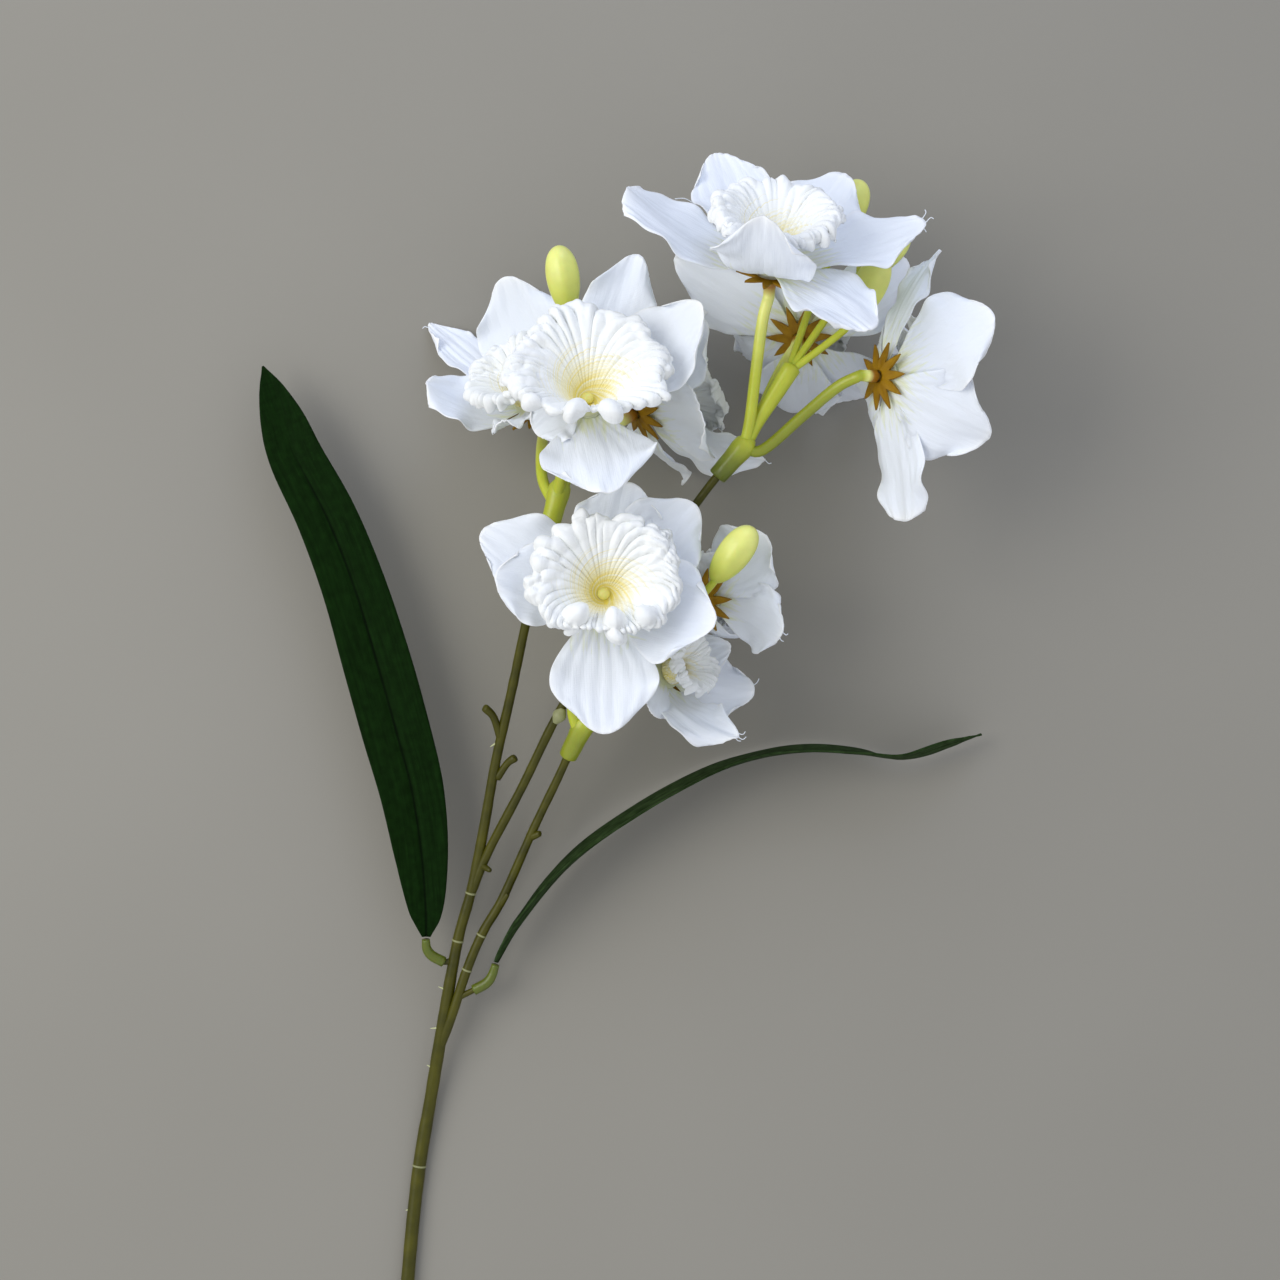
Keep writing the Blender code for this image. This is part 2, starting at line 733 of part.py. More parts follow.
def stem(material, parts, work):
    """The branched stem with its empty pegs and leaf pegs, moulded as one."""
    main = [place(*point) for point in MAIN_ROUTE]
    lower = [place(*point) for point in LOWER_ROUTE]
    right = [place(*point) for point in RIGHT_ROUTE]
    radii = tapered(FORK_POINT, STEM_RADIUS, STEM_FORK_RADIUS)
    radii[:4] = [STEM_RADIUS] * 4
    radii += tapered(len(main) - FORK_POINT, LEFT_BRANCH_RADIUS, BRANCH_END_RADIUS)
    pieces = [
        tube("main", main, radii, work, STEM_SIDES),
        tube("lower", lower, tapered(len(lower), LOWER_BRANCH_RADIUS, BRANCH_END_RADIUS), work),
        tube("right", right, tapered(len(right), RIGHT_BRANCH_RADIUS, BRANCH_END_RADIUS), work),
    ]
    for index, points in enumerate(EMPTY_PEGS):
        route = [place(*point) for point in points]
        pieces.append(tube(f"empty_peg_{index}", route, [PEG_RADIUS] * len(route), work))
    for side, points in LEAF_SLEEVES.items():
        mouth, following = place(*points[0]), place(*points[1])
        end = mouth + (following - mouth).normalized() * (LEAF_SOCKET_DEPTH - GAP - 0.1) * MM
        route = [place(*LEAF_PEG_ROOTS[side]), mouth, end]
        pieces.append(tube(f"leaf_peg_{side}", route, [LEAF_PEG_RADIUS] * 3, work))
    return join("stem", pieces, material, parts, work)


def leaf(side, material, parts, work):
    """A silk blade, folded a little along its middle."""
    plan = LEAVES[side]
    line = [place(*point) for point in plan["line"]]
    count = len(line)
    bm = bmesh.new()
    bmesh.ops.create_grid(bm, x_segments=count - 1, y_segments=4, size=0.5)
    for vert in bm.verts:
        index = round((vert.co.x + 0.5) * (count - 1))
        v = vert.co.y * 2
        ahead = (line[min(index + 1, count - 1)] - line[max(index - 1, 0)]).normalized()
        across = Vector(plan["across"][index])
        across = (across - ahead * across.dot(ahead)).normalized()
        face = across.cross(ahead)
        half = plan["widths"][index] / 2
        vert.co = line[index] + (across * half * v + face * LEAF_FOLD * half * abs(v)) * MM
    made = thickened(side + "_blade", bm, LEAF_THICKNESS, work)
    return join("leaf_" + side, [made], material, parts, work)


def leaf_sleeve(side, material, parts, work):
    """The short green tube that joins a leaf to its peg."""
    route = [place(*point) for point in LEAF_SLEEVES[side]]
    along = (route[1] - route[0]).normalized()
    radius = LEAF_SLEEVE_RADIUS
    bore = (LEAF_PEG_RADIUS + GAP) / math.cos(math.pi / SLEEVE_SIDES)
    sizes = (bore, LEAF_SOCKET_DEPTH, radius, radius, LEAF_SOCKET_DEPTH + 0.4)
    socket = socket_sleeve(side + "_socket", route[0], along, sizes, work)
    run = [route[0] + along * (LEAF_SOCKET_DEPTH + 0.1) * MM] + route[2:]
    made = tube(side + "_run", run, [0.9 * radius, 0.9 * radius, LEAF_SLEEVE_END_RADIUS], work)
    return join("leaf_sleeve_" + side, [socket, made], material, parts, work, "MANIFOLD")


def build():
    clear_scene()
    parts = new_collection(SPRAY)
    work = new_collection("work")
    olive = plain_material("olive_plastic", (0.11, 0.1, 0.025), 0.45)
    lime = plain_material("lime_plastic", (0.5, 0.55, 0.08), 0.45)
    white = plain_material("white_silk", (0.86, 0.88, 0.93), 0.8)
    gold = plain_material("golden_brown_plastic", (0.32, 0.19, 0.02), 0.5)
    leaf_green = plain_material("leaf_silk", (0.01, 0.05, 0.01), 0.7)
    stem(olive, parts, work)
    for side in UMBELS:
        umbel(side, lime, parts, work)
    for name, bloom in BLOOMS.items():
        petals("petals_" + name, bloom, white, parts, work)
        corona("corona_" + name, bloom, white, parts, work)
        calyx("calyx_" + name, bloom, gold, parts, work)
    for side in LEAVES:
        leaf(side, leaf_green, parts, work)
        leaf_sleeve(side, lime, parts, work)
    bpy.data.collections.remove(work)


build()
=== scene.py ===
"""Artificial narcissus spray that lies on its back, seen from above.

Named lengths are in millimetres. The scene is in metres, in the part's own frame: X across the spray, Y
from the cut end to the top bloom, Z up from the surface.
"""

import math

import bmesh
import bpy
from mathutils import Matrix, Vector, noise


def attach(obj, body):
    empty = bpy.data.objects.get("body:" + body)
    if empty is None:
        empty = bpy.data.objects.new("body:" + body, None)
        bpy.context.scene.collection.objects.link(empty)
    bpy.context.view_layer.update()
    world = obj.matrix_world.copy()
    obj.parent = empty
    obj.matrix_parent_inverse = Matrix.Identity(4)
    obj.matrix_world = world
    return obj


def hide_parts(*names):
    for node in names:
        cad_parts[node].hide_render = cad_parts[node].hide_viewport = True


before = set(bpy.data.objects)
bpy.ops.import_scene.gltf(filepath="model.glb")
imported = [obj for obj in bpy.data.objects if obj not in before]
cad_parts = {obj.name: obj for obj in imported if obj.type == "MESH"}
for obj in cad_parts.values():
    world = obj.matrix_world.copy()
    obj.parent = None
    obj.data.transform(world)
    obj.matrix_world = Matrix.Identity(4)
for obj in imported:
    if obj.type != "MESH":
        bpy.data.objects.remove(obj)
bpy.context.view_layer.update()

# Stem. One moulding in olive polyethylene over a wire: a round stem that forks into three branches, with
# the stubs of empty pegs, thorns, collars where the branches part, and scraps of flash from the mould.
MM = 0.001
OUTLINE_MIDDLE = (-4.7, -85.7)
STEM_RADIUS = 1.85
STEM_HEIGHT = STEM_RADIUS * math.cos(math.pi / 8)
OLIVE, SCAR = 0.0, 1.0
MAIN_ROUTE = [
    (-73, -299.9, STEM_HEIGHT, 1.85),
    (-69, -240, STEM_HEIGHT, 1.85),
    (-64.5, -178, STEM_HEIGHT, 1.85),
    (-61.5, -148, STEM_HEIGHT, 1.85),
    (-58, -127, 3, 1.75),
    (-54, -104, 7, 1.7),
    (-50, -82.5, 10, 1.5),
    (-46, -68, 12, 1.45),
    (-42.5, -51, 15, 1.4),
    (-39, -32.5, 19, 1.35),
    (-34.5, -13.5, 24, 1.3),
    (-30, 6.5, 30, 1.2),
    (-26, 21, 34.5, 1.15),
    (-24, 29.5, 36, 1.1),
    (-22.7, 34.4, 36.6, 1.1),
]
LOWER_ROUTE = [
    (-55.5, -113, 5.5, 1.35),
    (-52, -104, 8, 1.33),
    (-47.5, -90.5, 10, 1.3),
    (-43, -80, 11.5, 1.27),
    (-37.5, -70.5, 13, 1.24),
    (-29, -51.5, 17, 1.2),
    (-22.5, -38, 21, 1.16),
    (-19.5, -31.5, 23, 1.12),
    (-17.8, -28.2, 24.5, 1.1),
]
RIGHT_ROUTE = [
    (-46.5, -70, 11.6, 1.3),
    (-41.5, -58, 14.5, 1.28),
    (-32, -40, 20, 1.25),
    (-21.5, -19, 27, 1.22),
    (-9.5, 0, 33, 1.2),
    (2.5, 18.5, 39, 1.15),
    (15, 36, 45.5, 1.12),
    (20, 42.5, 47, 1.1),
    (23.3, 46.2, 47.5, 1.1),
]
PEG_ROUTES = [
    [(-37.6, -27, 20.5, 1.1), (-39.4, -21, 22.5, 1.05), (-41.5, -18.5, 24, 1.15), (-41.9, -18.1, 24.3, 0.7)],
    [(-38.8, -37.5, 18, 1.1), (-36, -33.5, 19.5, 1.0), (-34, -32, 20.5, 1.15), (-33.6, -31.7, 20.7, 0.7)],
    [(-29.5, -53.5, 16.6, 1.1), (-27.4, -52.6, 18, 0.9), (-27.1, -52.5, 18.2, 0.5)],
    [(-38.3, -72.5, 12.7, 1.1), (-36.3, -69.6, 14.2, 0.7), (-36, -69.2, 14.4, 0.3)],
    [(-43.2, -61.5, 13.5, 1.0), (-41, -62.6, 16, 0.7), (-40.6, -62.8, 16.4, 0.3)],
]
LEAF_PEG_ROUTES = [
    [(-51.1, -88, 9.3, 0.9), (-53.9, -88.4, 9.6, 0.8), (-56.1, -87.2, 10.1, 0.8)],
    [(-49.8, -98.2, 8.9, 0.9), (-45.6, -96.1, 9.3, 0.8), (-43.4, -94.9, 9.6, 0.8)],
]
COLLARS = [(-61, -146.5, 2.2), (-46.2, -68.8, 12), (-50, -82, 10), (-47.6, -90.8, 10), (-43.5, -81, 11.3)]
COLLAR_REACH = 2.5
# A collar is a thin raised ring. Each of its points has a step along the stem, a height over it and a tint.
COLLAR_RING = [(-0.4, -0.1, 0.05), (-0.15, 0.14, 0.4), (0.15, 0.14, 0.4), (0.4, -0.1, 0.05)]
UNEVENNESS = 0.09
FLASH = [(-55.9, -107, 6.6), (-57.7, -118, 4.7), (-39, -28, 20.2), (-53.7, -96, 8.3), (-63.9, -158, 1.9)]
FLASH_RADIUS = 0.34
GLUE = (-21.6, -20.2, 27.2)
GLUE_RADIUS = 1.9
GLUE_TINT = 0.45


def place(x, y, z):
    """A point measured in millimetres on the picture, in the part's frame."""
    return Vector((x - OUTLINE_MIDDLE[0], y - OUTLINE_MIDDLE[1], z)) * MM


def linear(code):
    """An sRGB hex colour as linear RGBA."""
    shares = [int(code[i : i + 2], 16) / 255 for i in (1, 3, 5)]
    return (*[s / 12.92 if s <= 0.04045 else ((s + 0.055) / 1.055) ** 2.4 for s in shares], 1.0)


def add(tree, kind, settings=None, links=None):
    """A shader node with its settings and the outputs that its inputs take."""
    made = tree.nodes.new(kind)
    for key, value in (settings or {}).items():
        if isinstance(key, int) or key in made.inputs:
            made.inputs[key].default_value = value
        else:
            setattr(made, key, value)
    for key, source in (links or {}).items():
        tree.links.new(source, made.inputs[key])
    return made


def new_material(name):
    """A material and its node tree."""
    made = bpy.data.materials.new(name)
    made.use_nodes = True
    return made, made.node_tree


def own_place(tree):
    """Each point's place in the object's own space, in metres."""
    return add(tree, "ShaderNodeTexCoord").outputs["Object"]


def attribute(tree, name):
    """The value that the mesh holds for each of its points under this name."""
    return add(tree, "ShaderNodeAttribute", {"attribute_name": name}).outputs["Fac"]


def cloud(tree, where, scale, detail):
    """Soft noise over the places that an output gives."""
    made = add(tree, "ShaderNodeTexNoise", {"Scale": scale, "Detail": detail}, {"Vector": where})
    return made.outputs["Fac"]


def ranged(tree, value, limits):
    """An output's value, brought from one range to another."""
    return add(tree, "ShaderNodeMapRange", limits, {"Value": value}).outputs[0]


def reckoned(tree, operation, *values):
    """The result of an operation on numbers and outputs."""
    numbers = {key: value for key, value in enumerate(values) if isinstance(value, float)}
    outputs = {key: value for key, value in enumerate(values) if not isinstance(value, float)}
    return add(tree, "ShaderNodeMath", {"operation": operation, **numbers}, outputs).outputs[0]


def blend(tree, share, low, high):
    """A colour between low and high, each a hex code or an output, by the share that an output gives."""
    settings, links = {"data_type": "RGBA"}, {0: share}
    for socket, colour in ((6, low), (7, high)):
        if isinstance(colour, str):
            settings[socket] = linear(colour)
        else:
            links[socket] = colour
    return add(tree, "ShaderNodeMix", settings, links).outputs[2]


def times(tree, colour, factor):
    """A colour multiplied by the value of an output."""
    settings = {"data_type": "RGBA", "blend_type": "MULTIPLY", 0: 1.0}
    return add(tree, "ShaderNodeMix", settings, {6: colour, 7: factor}).outputs[2]


def raised(tree, height, strength, distance, over=None):
    """Normals of a surface raised by an output, up to a distance in metres, over other normals if given."""
    links = {"Height": height} if over is None else {"Height": height, "Normal": over}
    return add(tree, "ShaderNodeBump", {"Strength": strength, "Distance": distance}, links).outputs["Normal"]


def surface(tree, colour, normals, values):
    """Joins a colour, normals where there are any, and values by name to the material's main shader."""
    shader = tree.nodes["Principled BSDF"]
    tree.links.new(colour, shader.inputs["Base Color"])
    if normals is not None:
        tree.links.new(normals, shader.inputs["Normal"])
    for key, value in values.items():
        shader.inputs[key].default_value = value


def cloth_places(tree, stretch):
    """Places on a cloth in millimetres, across and along it, and the same with the lengths drawn together."""
    ways = {"X": attribute(tree, "warp"), "Y": attribute(tree, "weft")}
    cloth = add(tree, "ShaderNodeCombineXYZ", {}, ways).outputs[0]
    settings = {"Scale": (1.0, stretch, 1.0)}
    return cloth, add(tree, "ShaderNodeMapping", settings, {"Vector": cloth}).outputs[0]


def smooth_route(points, steps):
    """Points of any number of values on a smooth curve through the given ones."""
    points = [Vector(point) for point in points]
    ends = [points[0] * 2 - points[1]] + points + [points[-1] * 2 - points[-2]]
    route = []
    for before, start, end, after in zip(ends, ends[1:], ends[2:], ends[3:]):
        for step in range(steps):
            t = step / steps
            route.append(
                (
                    start * 2
                    + (end - before) * t
                    + (before * 2 - start * 5 + end * 4 - after) * t * t
                    + (start * 3 - before - end * 3 + after) * t**3
                )
                * 0.5
            )
    route.append(points[-1])
    return route


def join(bm, rings):
    """Faces between each ring of points and the next."""
    for low, high in zip(rings, rings[1:]):
        for side in range(len(low)):
            bm.faces.new((low[side - 1], low[side], high[side], high[side - 1]))


def tube(bm, route, sides, tints, is_placed=False):
    """A round section carried through (x, y, z, radius) points, closed at both ends."""
    tint_layer = bm.verts.layers.float.get("tint") or bm.verts.layers.float.new("tint")
    spots = [Vector(point[:3]) if is_placed else place(*point[:3]) for point in route]
    circle = [Matrix.Rotation(math.tau * side / sides, 3, "Z") @ Vector((0, 1, 0)) for side in range(sides)]
    rings = []
    for index, (spot, point, tint) in enumerate(zip(spots, route, tints)):
        ahead = (spots[min(index + 1, len(spots) - 1)] - spots[max(index - 1, 0)]).normalized()
        turn = heading.rotation_difference(ahead) @ turn if rings else ahead.to_track_quat("Z", "X")
        heading = ahead
        ring = [bm.verts.new(spot + turn @ corner * point[3] * MM) for corner in circle]
        for vert in ring:
            vert[tint_layer] = tint
        rings.append(ring)
    join(bm, rings)
    bm.faces.new(rings[0])
    bm.faces.new(rings[-1])


def ball(bm, sides, rows):
    """A unit sphere of rings between two poles; the result is its points."""
    poles = [bm.verts.new((0, 0, 1)), bm.verts.new((0, 0, -1))]
    rings = []
    for row in range(1, rows):
        out, up = math.sin(math.pi * row / rows), math.cos(math.pi * row / rows)
        turns = [math.tau * side / sides for side in range(sides)]
        rings.append([bm.verts.new((out * math.cos(turn), out * math.sin(turn), up)) for turn in turns])
    join(bm, rings)
    for pole, ring in zip(poles, (rings[0], rings[-1])):
        for side in range(sides):
            bm.faces.new((ring[side - 1], ring[side], pole))
    return poles + [vert for ring in rings for vert in ring]


def finished(name, bm, material, node, silk=0.0):
    """The object of a finished mesh: it stands for a CAD node, if it has one, and moves with the spray."""
    bmesh.ops.recalc_face_normals(bm, faces=bm.faces)
    for face in bm.faces:
        face.smooth = True
    mesh = bpy.data.meshes.new(name)
    bm.to_mesh(mesh)
    bm.free()
    mesh.materials.append(material)
    made = bpy.data.objects.new(name, mesh)
    bpy.context.scene.collection.objects.link(made)
    if silk:
        wall = made.modifiers.new("cloth", "SOLIDIFY")
        wall.thickness = silk * MM
        wall.offset = 0.0
        made.modifiers.new("flat to its cut edge", "WEIGHTED_NORMAL")
    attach(made, "root")
    if node:
        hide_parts(node)


# Moulded polyethylene, pigmented olive: satin, a little waxy, paler in its collars, flash and glue.
olive, tree = new_material("moulded_olive_polyethylene")
where = own_place(tree)
body = blend(tree, cloud(tree, where, 1000 / 6.0, 4.0), "#1C2002", "#5C580C")
marked = blend(tree, attribute(tree, "tint"), body, "#C9CC9A")
relief = raised(tree, cloud(tree, where, 1000 / 1.2, 2.0), 0.25, 0.0002)
surface(tree, marked, relief, {"Roughness": 0.38, "Specular IOR Level": 0.25})

bm = bmesh.new()
for points in (MAIN_ROUTE, LOWER_ROUTE, RIGHT_ROUTE):
    route = smooth_route(points, 12)
    for point in route:
        point[3] += UNEVENNESS * noise.noise(point.xyz * 0.3)
    tube(bm, route, 16, [OLIVE] * len(route))
    for spot in map(Vector, COLLARS):
        index = min(range(1, len(route) - 1), key=lambda i: (route[i].xyz - spot).length)
        if (route[index].xyz - spot).length < COLLAR_REACH:
            heading = (route[index + 1].xyz - route[index - 1].xyz).normalized()
            middle, girth = route[index].xyz, route[index][3]
            ring = [(*(middle + heading * step), girth + height) for step, height, _ in COLLAR_RING]
            tube(bm, ring, 16, [tint for *_, tint in COLLAR_RING])
for points in PEG_ROUTES + LEAF_PEG_ROUTES:
    route = smooth_route(points, 5)
    tube(bm, route, 12, [OLIVE] * len(route))
for index, (x, y, z) in enumerate(FLASH):
    turn = 2.4 * index
    far = (x - 1.5 - 0.4 * math.cos(turn), y + 0.9 * math.sin(turn), z + 0.5, 0.06)
    route = smooth_route([(x + 0.6, y, z - 0.3, 0.3), (x, y, z, FLASH_RADIUS), far], 3)
    tube(bm, route, 6, [SCAR] * len(route))
x, y, z = GLUE
low, high = (x - 1.2, y - 2, z - 0.6, 0.8), (x + 1.1, y + 1.9, z + 0.8, 0.8)
route = smooth_route([low, (x, y, z, GLUE_RADIUS), high], 6)
tube(bm, route, 14, [GLUE_TINT] * len(route))
for vert in bm.verts:
    vert.co.z = max(vert.co.z, 0.0)
finished("stem_moulding", bm, olive, "stem")

# Umbels. Each is one moulding in yellow-green polyethylene that is pushed on a branch: a sleeve, three
# flower stalks with a spigot for the silk, a short column and three buds. The stalks brown at the bloom.
STALK_RADIUS = 1.5
SPIGOT_RADIUS = 1.0
SPIGOT_HEAD_RADIUS = 1.7
BUD_LENGTH = 18.0
BUD_RADIUS = 4.5
STALK_TOP = -3.7
SPIGOT_HEAD = 2.4
# Tints run from the dark green of a sleeve through lime and the pale yellow of a bud to brown.
SLEEVE_TINT, GREEN_TINT, BUD_TINT, HEAD_TINT, BROWN_TINT = 0.0, 0.35, 0.62, 0.79, 1.0
BROWNING = (0.45, 0.65)
# Stalks painted darker for the shade that they lie in, each with the tint that it starts from: painted shade.
STALKS_IN_PAINTED_SHADE = {"right_side": 0.13}
# The least tint of each umbel's sleeve: the same moulding painted lighter or darker for the light that falls
# on it, so painted light and shade.
SLEEVE_PAINTED_LIGHT_AND_SHADE = {"right": 0.0, "left": 0.3, "lower": 0.14}
# The sleeve's outline from mouth to crown: height, radius and tint.
SLEEVE_PROFILE = [
    (-0.1, 1.6, 0.02),
    (0, 2.2, SLEEVE_TINT),
    (0.3, 2.5, SLEEVE_TINT),
    (3, 2.65, 0.03),
    (6, 2.7, 0.08),
    (9.5, 3.05, 0.2),
    (11.5, 2.9, 0.28),
    (13.5, 1.6, GREEN_TINT),
]
COLUMN_RADII = (1.75, 2.0, 2.3, 2.6)
BUD_GROOVES = 6
BUD_GROOVE_DEPTH = 0.035
BUD_SWELL = 0.13


class Bloom:
    """Where one bloom sits: its hub, the way that it faces, and its petals and corona."""

    def __init__(self, hub, axis, petals, corona, umbel, stalk):
        """The hub in millimetres on the picture, and angles counted from the low side of the bloom."""
        self.hub = place(*hub)
        self.axis = Vector(axis).normalized()
        self.petals = petals
        self.corona = corona
        self.umbel = umbel
        self.stalk = stalk
        low = Vector((0.0, -1.0, 0.0))
        self.low = (low - self.axis * low.dot(self.axis)).normalized()
        self.side = self.axis.cross(self.low)

    def at(self, radius, angle, height):
        """A point at a radius and angle round the axis, and a height along it, in millimetres."""
        spoke = self.low * math.cos(angle) + self.side * math.sin(angle)
        return self.hub + (spoke * radius + self.axis * height) * MM


# Blooms: hub, facing, petal tips with width and twist in degrees, corona rim radius, height and the
# share by which its lower lip is drawn in, and the route of the flower stalk out of the sleeve.
BLOOMS = {
    "right_top": Bloom(
        hub=(33.5, 95, 62),
        axis=(0.05, 0.78, 0.62),
        petals=[
            ((-4, 114, 66), 24, 0),
            ((20, 128.5, 38), 24, 0),
            ((54, 123, 40), 24, 0),
            ((73, 107, 60), 23, 0),
            ((58, 77, 80), 24, 0),
            ((30, 103, 92), 27, 0),
        ],
        corona=(15.0, 15.0, 0.0),
        umbel="right",
        stalk=[(27, 50, 48), (28.5, 57, 50), (30, 70, 53), (31.5, 82, 56)],
    ),
    "right_side": Bloom(
        hub=(64, 68.5, 48),
        axis=(0.82, 0.02, -0.57),
        petals=[
            ((79, 102, 42), 10, 0),
            ((90, 82, 66), 27, 0),
            ((90, 52, 56), 26, 0),
            ((69.5, 31, 44), 20, 0),
            ((71, 56, 16), 22, 0),
            ((77, 79, 18), 18, 0),
        ],
        corona=(14.0, 14.0, 0.0),
        umbel="right",
        stalk=[(27, 50, 48), (32, 49.5, 48), (42, 58, 48.5), (51, 65.5, 50)],
    ),
    "right_back": Bloom(
        hub=(42.5, 81, 34),
        axis=(0.2, 0.5, -0.84),
        petals=[
            ((9, 102.5, 28), 24, 0),
            ((40, 119, 22), 24, 0),
            ((72, 102, 24), 20, 0),
            ((62.5, 68.5, 1.5), 24, 0),
            ((44.5, 63.5, 0.3), 24, 0),
            ((31.5, 78, 2), 22, 0),
        ],
        corona=(12.5, 14.0, 0.0),
        umbel="right",
        stalk=[(27, 50, 47), (31, 58, 44), (35, 67, 42.5), (38.5, 73.5, 41)],
    ),
    "left_front": Bloom(
        hub=(-13.5, 60.5, 58),
        axis=(0.03, 0.5, 0.87),
        petals=[
            ((-8.5, 36.5, 74), 30, 0),
            ((15.5, 85.5, 64), 25, 0),
            ((-0.7, 101, 44), 20, 0),
            ((-8.5, 96, 34), 13, 0),
            ((-32, 75, 58), 20, 0),
            ((-27, 53, 62), 16, 0),
        ],
        corona=(19.0, 13.0, 0.35),
        umbel="left",
        stalk=[(-22, 36.5, 37), (-20.5, 43, 42), (-17, 51, 48)],
    ),
    "left_side": Bloom(
        hub=(-29.5, 64, 24),
        axis=(-0.47, 0.6, 0.65),
        petals=[
            ((-57.5, 68.5, 26), 20, 0),
            ((-58.5, 88, 0.3), 14, 40),
            ((-37, 98.5, 18), 28, 0),
            ((-16, 82, 22), 16, 0),
            ((-23.5, 66, 38), 13, 0),
            ((-37, 57, 40), 13, 0),
        ],
        corona=(11.0, 12.0, 0.0),
        umbel="left",
        stalk=[(-23, 36.5, 36), (-26, 43, 31), (-26.5, 52, 23)],
    ),
    "left_back": Bloom(
        hub=(1, 61.5, 32),
        axis=(0.75, 0.45, -0.45),
        petals=[
            ((16, 58, 57), 31, 0),
            ((33.5, 47.5, 28), 22, 0),
            ((12, 48, 0.5), 22, 0),
            ((2, 74, 3), 22, 0),
            ((-2, 92, 16), 20, 0),
            ((17, 83, 50), 20, 0),
        ],
        corona=(13.0, 14.0, 0.0),
        umbel="left",
        stalk=[(-21.5, 36.5, 36), (-18, 46, 35), (-11, 54, 36)],
    ),
    "lower_front": Bloom(
        hub=(-9.5, 11.5, 54),
        axis=(0.05, 0.15, 0.98),
        petals=[
            ((-9, -24, 62), 28, 0),
            ((19, 4.5, 66), 28, 0),
            ((14.5, 35, 52), 24, 0),
            ((-3, 41, 50), 24, 0),
            ((-41, 28, 52), 22, 0),
            ((-37, 16, 62), 22, 0),
        ],
        corona=(18.0, 12.5, 0.38),
        umbel="lower",
        stalk=[(-16.5, -25, 26), (-18, -18, 30), (-15.5, -8, 38)],
    ),
    "lower_side": Bloom(
        hub=(17.5, 11, 32),
        axis=(0.55, 0.25, -0.8),
        petals=[
            ((33, 27, 46), 22, 0),
            ((37.5, 2, 44), 20, 0),
            ((29.5, 4, 10), 16, 0),
            ((23, 9, 8), 16, 0),
            ((17, 20.5, 10), 18, 0),
            ((18.5, 23, 39), 12, 0),
        ],
        corona=(9.5, 12.0, 0.0),
        umbel="lower",
        stalk=[(-16, -25, 26), (-9, -14.5, 33), (0, -2, 40)],
    ),
    "lower_right": Bloom(
        hub=(6.5, -9, 28),
        axis=(0.75, 0.25, 0.6),
        petals=[
            ((24, -1.5, 27), 15, 0),
            ((31, -13.5, 22), 20, 0),
            ((25.6, -25.6, 44), 16, 50),
            ((3.5, -20, 37), 13, 0),
            ((1, -5.5, 35), 9, 0),
            ((5, 2, 18), 11, 0),
        ],
        corona=(7.5, 10.0, 0.0),
        umbel="lower",
        stalk=[(-15.5, -25, 26), (-9, -20, 25), (-4.5, -15, 23)],
    ),
}

# Umbels: sleeve mouth and top, column, and for each bud its stalk's route and its middle.
UMBELS = {
    "right": {
        "sleeve": [(20, 42.5, 47), (27.5, 51, 48)],
        "column": [(27.5, 51, 48), (30.5, 57, 48), (35, 64, 48), (39.4, 71, 48)],
        "buds": [
            [(44.5, 87, 43), (51, 103, 38), (55.5, 114, 35)],
            [(49, 84.5, 46), (56, 94, 46), (63.5, 101, 45)],
            [(53, 80.5, 49), (57, 86, 50), (59.5, 91.5, 50)],
        ],
    },
    "left": {
        "sleeve": [(-24, 29.5, 36), (-22, 37, 37)],
        "column": [(-22, 37, 37), (-20, 45, 36), (-18.5, 53, 34)],
        "buds": [
            [(-15.5, 62, 40), (-17, 75, 44), (-20, 94, 46)],
            [(-13.5, 63, 24), (-11.5, 72, 15)],
            [(-17, 62, 22), (-21, 70, 11)],
        ],
    },
    "lower": {
        "sleeve": [(-19.5, -31.5, 23), (-16, -24.5, 26)],
        "column": [(-16, -24.5, 26), (-10.5, -13.5, 29), (-5, -3, 32)],
        "buds": [
            [(4, 3, 41), (16, 11.5, 50.5), (24, 22, 54)],
            [(-2, 6, 26), (1, 15, 18)],
            [(-9, 5, 25), (-13, 15, 19)],
        ],
    },
}

# Moulded polyethylene, pigmented yellow-green and brushed brown near the blooms: satin and waxy.
lime, tree = new_material("moulded_lime_polyethylene")
where = own_place(tree)
tint = attribute(tree, "tint")
to_green = ranged(tree, tint, {"From Max": GREEN_TINT})
to_bud = ranged(tree, tint, {"From Min": GREEN_TINT, "From Max": BUD_TINT})
to_brown = ranged(tree, tint, {"From Min": 0.72, "From Max": BROWN_TINT})
colour = blend(tree, to_green, "#5C6712", "#C2CA3A")
colour = blend(tree, to_bud, colour, "#F2F48C")
colour = blend(tree, to_brown, colour, "#A8741C")
shade = ranged(tree, cloud(tree, where, 1000 / 6.0, 3.0), {"To Min": 0.78, "To Max": 1.12})
relief = raised(tree, cloud(tree, where, 1000 / 1.0, 2.0), 0.2, 0.0002)
waxy = {"Roughness": 0.33, "Subsurface Weight": 0.15, "Subsurface Scale": 0.002}
surface(tree, times(tree, colour, shade), relief, waxy)


